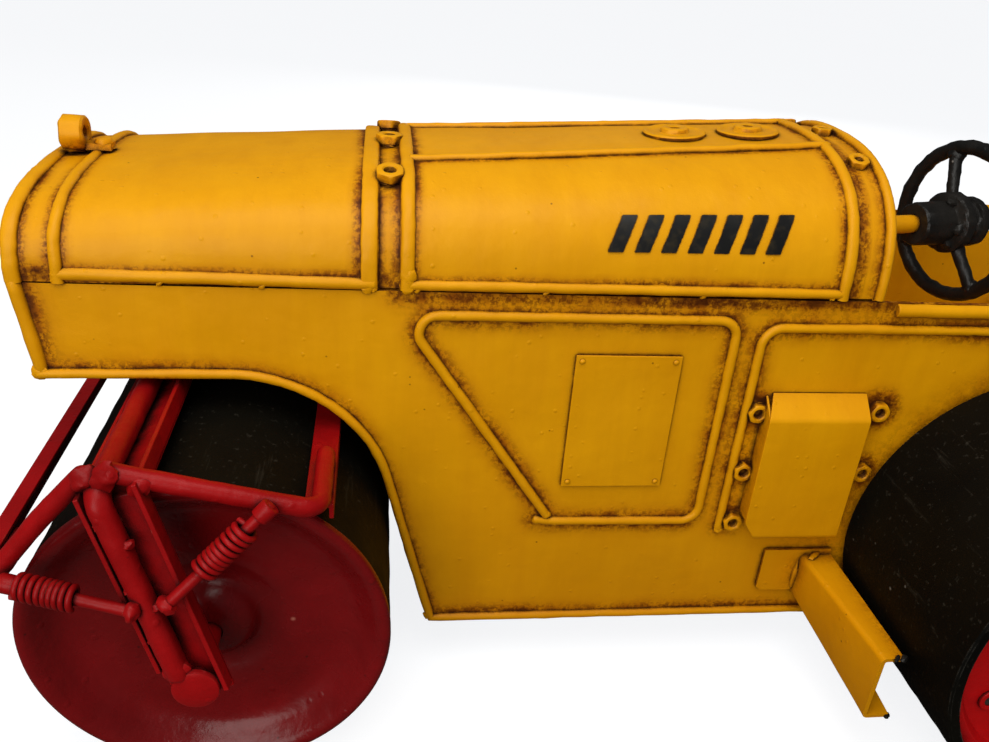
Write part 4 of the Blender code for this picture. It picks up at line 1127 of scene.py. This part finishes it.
def rear_rolls():
    r = REAR_RADIUS
    width = REAR_OUTER_Y - REAR_INNER_Y
    tread = Shape()
    profile = [(r - TREAD_SHEET, 0.0), (r - 0.7, 0.0), (r - 0.1, 0.5)]
    profile += [(r - 0.1 + 0.10 * sin(i * 2.3), 0.5 + (width - 1) * i / 16) for i in range(1, 16)]
    profile += [(r - 0.1, width - 0.5), (r - 0.7, width), (r - TREAD_SHEET, width)]
    centre = vec(REAR_AXLE.x, -REAR_INNER_Y, REAR_AXLE.z)
    tread.lathe(profile, centre, OUT_LEFT, 144)
    rim = r - TREAD_SHEET - 0.3
    bore = REAR_AXLE_RADIUS + 0.3
    hub = 9.0
    inner_disc = [(bore, 0.2), (hub, 0.2), (hub, 5.0), (rim, 5.0), (rim, 6.6), (hub, 6.6)]
    outer_disc = [(hub, 50.0), (rim - 4, 50.0), (rim - 2.4, 53.0), (rim, 53.0), (rim, 54.6),
                  (rim - 3.4, 54.6), (rim - 5, 51.6), (16.0, 51.6), (14.0, 53.0)]
    wheel = Shape().lathe(rounded([*inner_disc, *outer_disc, (hub, 55.4), (bore, 55.6)]), centre,
                          OUT_LEFT, 112)
    bolts = Shape()
    holes = Shape()
    for i in range(6):
        a = pi * (2 * i + 1) / 6
        place = centre + vec(cos(a) * 37.0, -51.5, sin(a) * 37.0)
        eyelet = rounded([(1.9, 0.0), (3.6, 0.0), (3.4, 0.9), (1.9, 0.9)], 0.3)
        bolts.lathe(eyelet, place, OUT_LEFT, 28)
        holes.lathe([(0, 0.0), (2.1, 0.0), (2.1, 0.35), (0, 0.3)], place, OUT_LEFT, 20)
    body = "rear_wheel_{}"
    both("rear_tread_{}", tread, TREAD, body, "rear_roll_{}", origin=REAR_AXLE)
    both("rear_disc_{}", wheel, WHEEL_RED, body, "rear_wheel_centre_{}", origin=REAR_AXLE)
    both("rear_eyelets_{}", bolts, WHEEL_RED, body, origin=REAR_AXLE)
    both("rear_eyelet_holes_{}", holes, STEEL, body, origin=REAR_AXLE)
    axle = Shape()
    end = REAR_OUTER_Y + 1.5
    profile = [(0, -end), (REAR_AXLE_RADIUS - 1.2, -end + 0.1), (REAR_AXLE_RADIUS, -end + 1.0)]
    profile += [(r, -h) for r, h in reversed(profile)]
    axle.lathe(profile, (REAR_AXLE.x, 0, REAR_AXLE.z), (0, 1, 0), 40)
    piece("rear_axle_rod", axle, STEEL, "chassis", "rear_axle")
    nut = Shape().nut((REAR_AXLE.x, -(REAR_INNER_Y + 55.9), REAR_AXLE.z), OUT_LEFT, 13.0, 4.3, 4.3, 0.3)
    both("rear_axle_hex_{}", nut, RED, "chassis", "rear_axle_nut_{}", bevel=0.2)


# ---------------------------------------------------------------- fork and scrapers
def fork_point(y, rise, across=0.0):
    """A place on the leaning fork: rise from the axle along the legs, across them to the rear."""
    x = DRUM.x - rise * sin(FORK_LEAN) + across * cos(FORK_LEAN)
    z = DRUM.z + rise * cos(FORK_LEAN) + across * sin(FORK_LEAN)
    return vec(x, y, z)


def fork_line(lift):
    """Foot and top corner (y, rise) of one half of the fork, lifted off its inner face."""
    top = Vector((LEG_TOP_Y, FORK_RISE))
    foot = Vector((LEG_FOOT_Y, -FORK_DROP))
    down = (foot - top).normalized()
    side = Vector((-down.y, down.x))
    foot_lifted = foot + side * lift
    corner_y = foot_lifted.x + down.x / down.y * (FORK_RISE + lift - foot_lifted.y)
    return foot_lifted, Vector((corner_y, FORK_RISE + lift))


def yoke():
    """Bent channel over the front roll, open outwards, with the boss of the king pin."""
    half = CHANNEL_WIDTH / 2
    t = SHEET

    def channel(section, drop_front, drop_rear):
        """One strip of the bent channel; its feet end at a slant from front to rear."""
        rings = [[], [], [], []]
        for across, lift in section:
            foot, corner = fork_line(lift)
            share = (across + half) / (2 * half)
            drop = drop_front + (drop_rear - drop_front) * share
            along = (corner - foot) / (corner.y - foot.y)
            end = foot + along * (FORK_DROP - drop)
            for ring, y, rise in zip(rings, (-end.x, -corner.x, corner.x, end.x),
                                     (end.y, corner.y, corner.y, end.y)):
                ring.append(fork_point(y, rise, across))
        return rings

    deep = CHANNEL_DEPTH
    body = Shape().skin(channel([(-half, 0), (half, 0), (half, t), (-half, t)], FORK_DROP, FORK_DROP))
    body.skin(channel([(-half, 0.1), (t - half, 0.1), (t - half, deep), (-half, deep)], -5.8, -5.4))
    body.skin(channel([(half - t, 0.1), (half, 0.1), (half, deep), (half - t, deep)], 2.8, 3.4))
    beam = fork_point(0, FORK_RISE)
    rise = NOSE_BOTTOM - 0.1 - beam.z
    boss = rounded([(3.3, -0.4), (7.0, -0.4), (7.0, rise), (3.3, rise)], 0.5)
    body.lathe(boss, (KING_X, 0, beam.z), UP, 48)
    piece("yoke_channel", body, RED, "fork", "yoke", bevel=0.28)


def fork_tubes():
    lift = SHEET + 0.2 + FORK_TUBE
    foot, corner = fork_line(lift)
    low = foot.lerp(corner, (5.0 - foot.y) / (corner.y - foot.y))
    stops = [(-9.5, corner.y), (-corner.x, corner.y), (-low.x, low.y)]
    path = [fork_point(y, rise, TUBE_ACROSS) for y, rise in stops]
    tube = Shape().tube(path_through(path, 4.4, 2.5), FORK_TUBE, 24, wobble=0.05)
    tube.blob(fork_point(-low.x, low.y + 1, TUBE_ACROSS), (3.4, 3.4, 2.2), 1.0, OUT_LEFT, 16)
    for number, rise in enumerate((46.5, 40.5, 30.0, 24.0, 16.0)):
        place = foot.lerp(corner, (rise - foot.y) / (corner.y - foot.y))
        side = TUBE_ACROSS + (2.6 if number % 2 else -1.4)
        tube.blob(fork_point(-place.x - 0.8, place.y, side), (1.6, 1.2, 1.3), number * 2.3, OUT_LEFT, 14)
    both("fork_tube_{}_bar", tube, RED, "fork", "fork_tube_{}", lumps=(0.2, 0.5))


def scraper(end, corners, lumps, bar):
    """Rails on both sides of the fork and the angle bar between their ends."""
    rail = Shape().tube(path_through(corners, 5.0, 2.5), RAIL_TUBE, 20, wobble=0.05)
    for place, reach, seed in lumps:
        rail.blob(place, reach, seed, OUT_LEFT, 16)
    both(end + "_rail_{}_bar", rail, RED, "fork", end + "_rail_{}", lumps=(0.16, 0.5))
    half = node_box(end + "_scraper_bar")[1].y
    piece(end + "_scraper_angle", Shape().prism(bar, "y", (-half, half)), RED, "fork",
          end + "_scraper_bar", bevel=0.2)


def scrapers():
    scraper("rear", [(-58.4, -RAIL_Y - 1.2, 99.6), (-12.9, -RAIL_Y, 87.9), (-12.9, -62.0, 87.4)],
            [((-57.6, -RAIL_Y - 2.6, 99.0), (3.6, 3.0, 2.2), -57.6),
             ((-50.8, -RAIL_Y - 2.4, 96.4), (3.0, 2.4, 1.8), -50.8)],
            [(-17.0, 83.8), (-11.3, 83.8), (-11.3, 80.8), (-10.2, 80.8), (-10.2, 84.9), (-17.0, 84.9)])
    scraper("front", [(-62.4, -RAIL_Y - 0.8, 98.6), (-73.6, -RAIL_Y + 0.2, 86.0),
                      (-87.4, -RAIL_Y + 0.2, 68.6), (-88.3, -66.0, 66.0)],
            [((-62.0, -RAIL_Y - 1.8, 98.2), (3.4, 3.0, 2.2), 4.7)],
            [(-92.4, 62.0), (-91.2, 62.0), (-91.2, 69.4), (-88.2, 69.4), (-88.2, 70.5), (-92.4, 70.5)])


def spring_pair(name, start, end, middle):
    """A rod from a leg to a rail, with its collar and the coil wound on it."""
    start, end = Vector(start), Vector(end)
    along, side, up = side_axes(end - start)
    rod = Shape().tube(split_path([start, end], 2.0), 1.4, 18, wobble=0.05)
    rod.blob(start, (2.3, 2.1, 1.8), 3.1, along, 16)
    rod.lathe(rounded([(0.5, -3.6), (2.2, -3.6), (2.3, 0.4), (0.5, 0.4)], 0.4), end, along, 24)
    both(name + "_rod_{}_bar", rod, RED, "fork", name + "_rod_{}")
    centre = start.lerp(end, middle)
    turns, length, coil, fine = 9, 13.4, 2.5, 24
    path = []
    for i in range(turns * fine + 1):
        a = 2 * pi * i / fine
        share = i / (turns * fine)
        travel = (share - 0.5) * length + 0.25 * sin(share * 9)
        path.append(centre + along * travel + (side * cos(a) + up * sin(a)) * coil)
    out = (path[-1] - centre - along * (length / 2)).normalized()
    for _ in range(3):
        path.append(path[-1] - out * 0.5 + along * 0.15)
    both(name + "_{}_coil", Shape().tube(path, 0.76, 12, wobble=0.03), RED, "fork", name + "_{}")


def fork_fittings():
    y = node_box("axle_cap_right")[0].y
    cap = Shape().lathe([(0, 1.6), (4.6, 1.55), (5.4, 1.2), (5.6, 0.6), (5.6, 0.0), (0, 0.0)],
                        (DRUM.x, -y, DRUM.z), OUT_LEFT, 48)
    both("axle_cap_{}_disc", cap, RED, "fork", "axle_cap_{}")
    axle = Shape().lathe([(0, -y + 0.3), (AXLE_RADIUS, -y + 0.3), (AXLE_RADIUS, y - 0.3), (0, y - 0.3)],
                         DRUM, (0, 1, 0), 32)
    piece("front_axle_rod", axle, RED, "fork", "front_axle")
    pin = Shape().lathe([(0, 0), (3.6, 0.1), (3.6, 0.6), (AXLE_RADIUS, 0.7), (AXLE_RADIUS, 21.7), (2.2, 22.2),
                         (0, 22.2)], (KING_X, 0, 89.8), UP, 32)
    piece("king_pin_rod", pin, RED, "fork", "king_pin")
    nut = Shape().nut((KING_X, 0, 105.9), UP, 10.0, 4.0, 3.3)
    piece("king_pin_hex", nut, YELLOW, "fork", "king_pin_nut")


# ---------------------------------------------------------------- plates that keep their CAD solid
def finish_plates():
    plates = ("firewall", "cab_floor", "belly_plate", "rear_panel", "seat_pedestal", "king_pin_bracket",
              "nose_panel")
    for name in plates:
        item = frame["nodes"][name]
        item.data.materials.clear()
        item.data.materials.append(YELLOW)
        weld = item.modifiers.new("weld", "WELD")
        weld.merge_threshold = 0.00001
        soften(item, 0.25, 2, False)


# ---------------------------------------------------------------- studio
def studio():
    half = 12.0
    gap = 0.0003
    mesh = bpy.data.meshes.new("floor")
    mesh.from_pydata([(x * half, y * half, -gap) for x, y in ((-1, -1), (1, -1), (1, 1), (-1, 1))], [],
                     [(0, 1, 2, 3)])
    mesh.materials.append(floor_paper())
    add_object("floor", mesh)
    world = bpy.data.worlds.new("studio_air")
    world.use_nodes = True
    air = world.node_tree.nodes["Background"].inputs
    air["Color"].default_value = (0.95, 0.97, 1.0, 1.0)
    ray = make(world.node_tree, "LightPath")
    level = 0.28
    for kind, other in (("Is Glossy Ray", 0.05), ("Is Camera Ray", 0.93)):
        level = make(world.node_tree, "Mix", {0: ray[kind], 2: level, 3: other})[0]
    feed(world.node_tree, level, air["Strength"])
    bpy.context.scene.world = world
    softbox("top_light", (-0.12, -0.22, 0.66), (-0.01, 0.0, 0.10), 0.46, 2.2, (1.0, 0.98, 0.92))
    softbox("front_light", (-0.40, -0.78, 0.42), (0.0, 0.0, 0.09), 0.60, 3.9, (1.0, 0.98, 0.94))
    softbox("back_light", (0.25, 0.85, 0.40), (0.0, 0.0, 0.08), 0.60, 1.9, (1.0, 0.98, 0.95),
            sheen=False)


def softbox(name, place, target, size, power, colour, sheen=True):
    data = bpy.data.lights.new(name, "AREA")
    data.size = size
    data.energy = power
    data.color = colour
    item = add_object(name, data)
    item.location = place
    item.visible_glossy = sheen
    item.rotation_mode = "QUATERNION"
    item.rotation_quaternion = (Vector(target) - Vector(place)).to_track_quat("-Z", "Y")


def camera():
    """Hand-held view over the left side: turned 8 degrees towards the cab and tipped down 27."""
    yaw, pitch, roll = radians(8.38), radians(27.17), radians(-4.46)
    forward = vec(sin(yaw) * cos(pitch), cos(yaw) * cos(pitch), -sin(pitch))
    level = vec(cos(yaw), -sin(yaw))
    down = forward.cross(level)
    right = level * cos(roll) + down * sin(roll)
    down = down * cos(roll) - level * sin(roll)
    data = bpy.data.cameras.new("camera")
    data.lens = 32.22
    data.sensor_width = 36.0
    data.clip_start = 0.01
    data.clip_end = 50.0
    item = add_object("camera", data)
    place = vec(HOOD_JOINT_X, -253.0, 210.5) * MM
    item.matrix_world = (Matrix.Translation(place)
                         @ Matrix((right, -down, -forward)).transposed().to_4x4())
    bpy.context.scene.camera = item


def main():
    hood_front()
    joint_strip()
    hood_rear()
    end_band()
    hood_bars()
    lifting_eye()
    deck_cap("deck_cap_front", 84.5)
    deck_cap("deck_cap_rear", 106.5)
    nose()
    side_panel()
    side_wires()
    access_plate()
    box_cover()
    step_channel()
    grab_rail()
    seat()
    column()
    steering_wheel()
    front_roll()
    rear_rolls()
    yoke()
    fork_tubes()
    scrapers()
    spring_pair("rear_spring", (-45.7, -97.4, 70.9), (-23.2, -90.7, 92.2), 0.56)
    spring_pair("front_spring", (-53.3, -97.4, 69.2), (-82.0, -90.7, 72.4), 0.66)
    fork_fittings()
    finish_plates()
    studio()
    camera()
    bpy.context.scene.view_settings.view_transform = "Standard"


main()
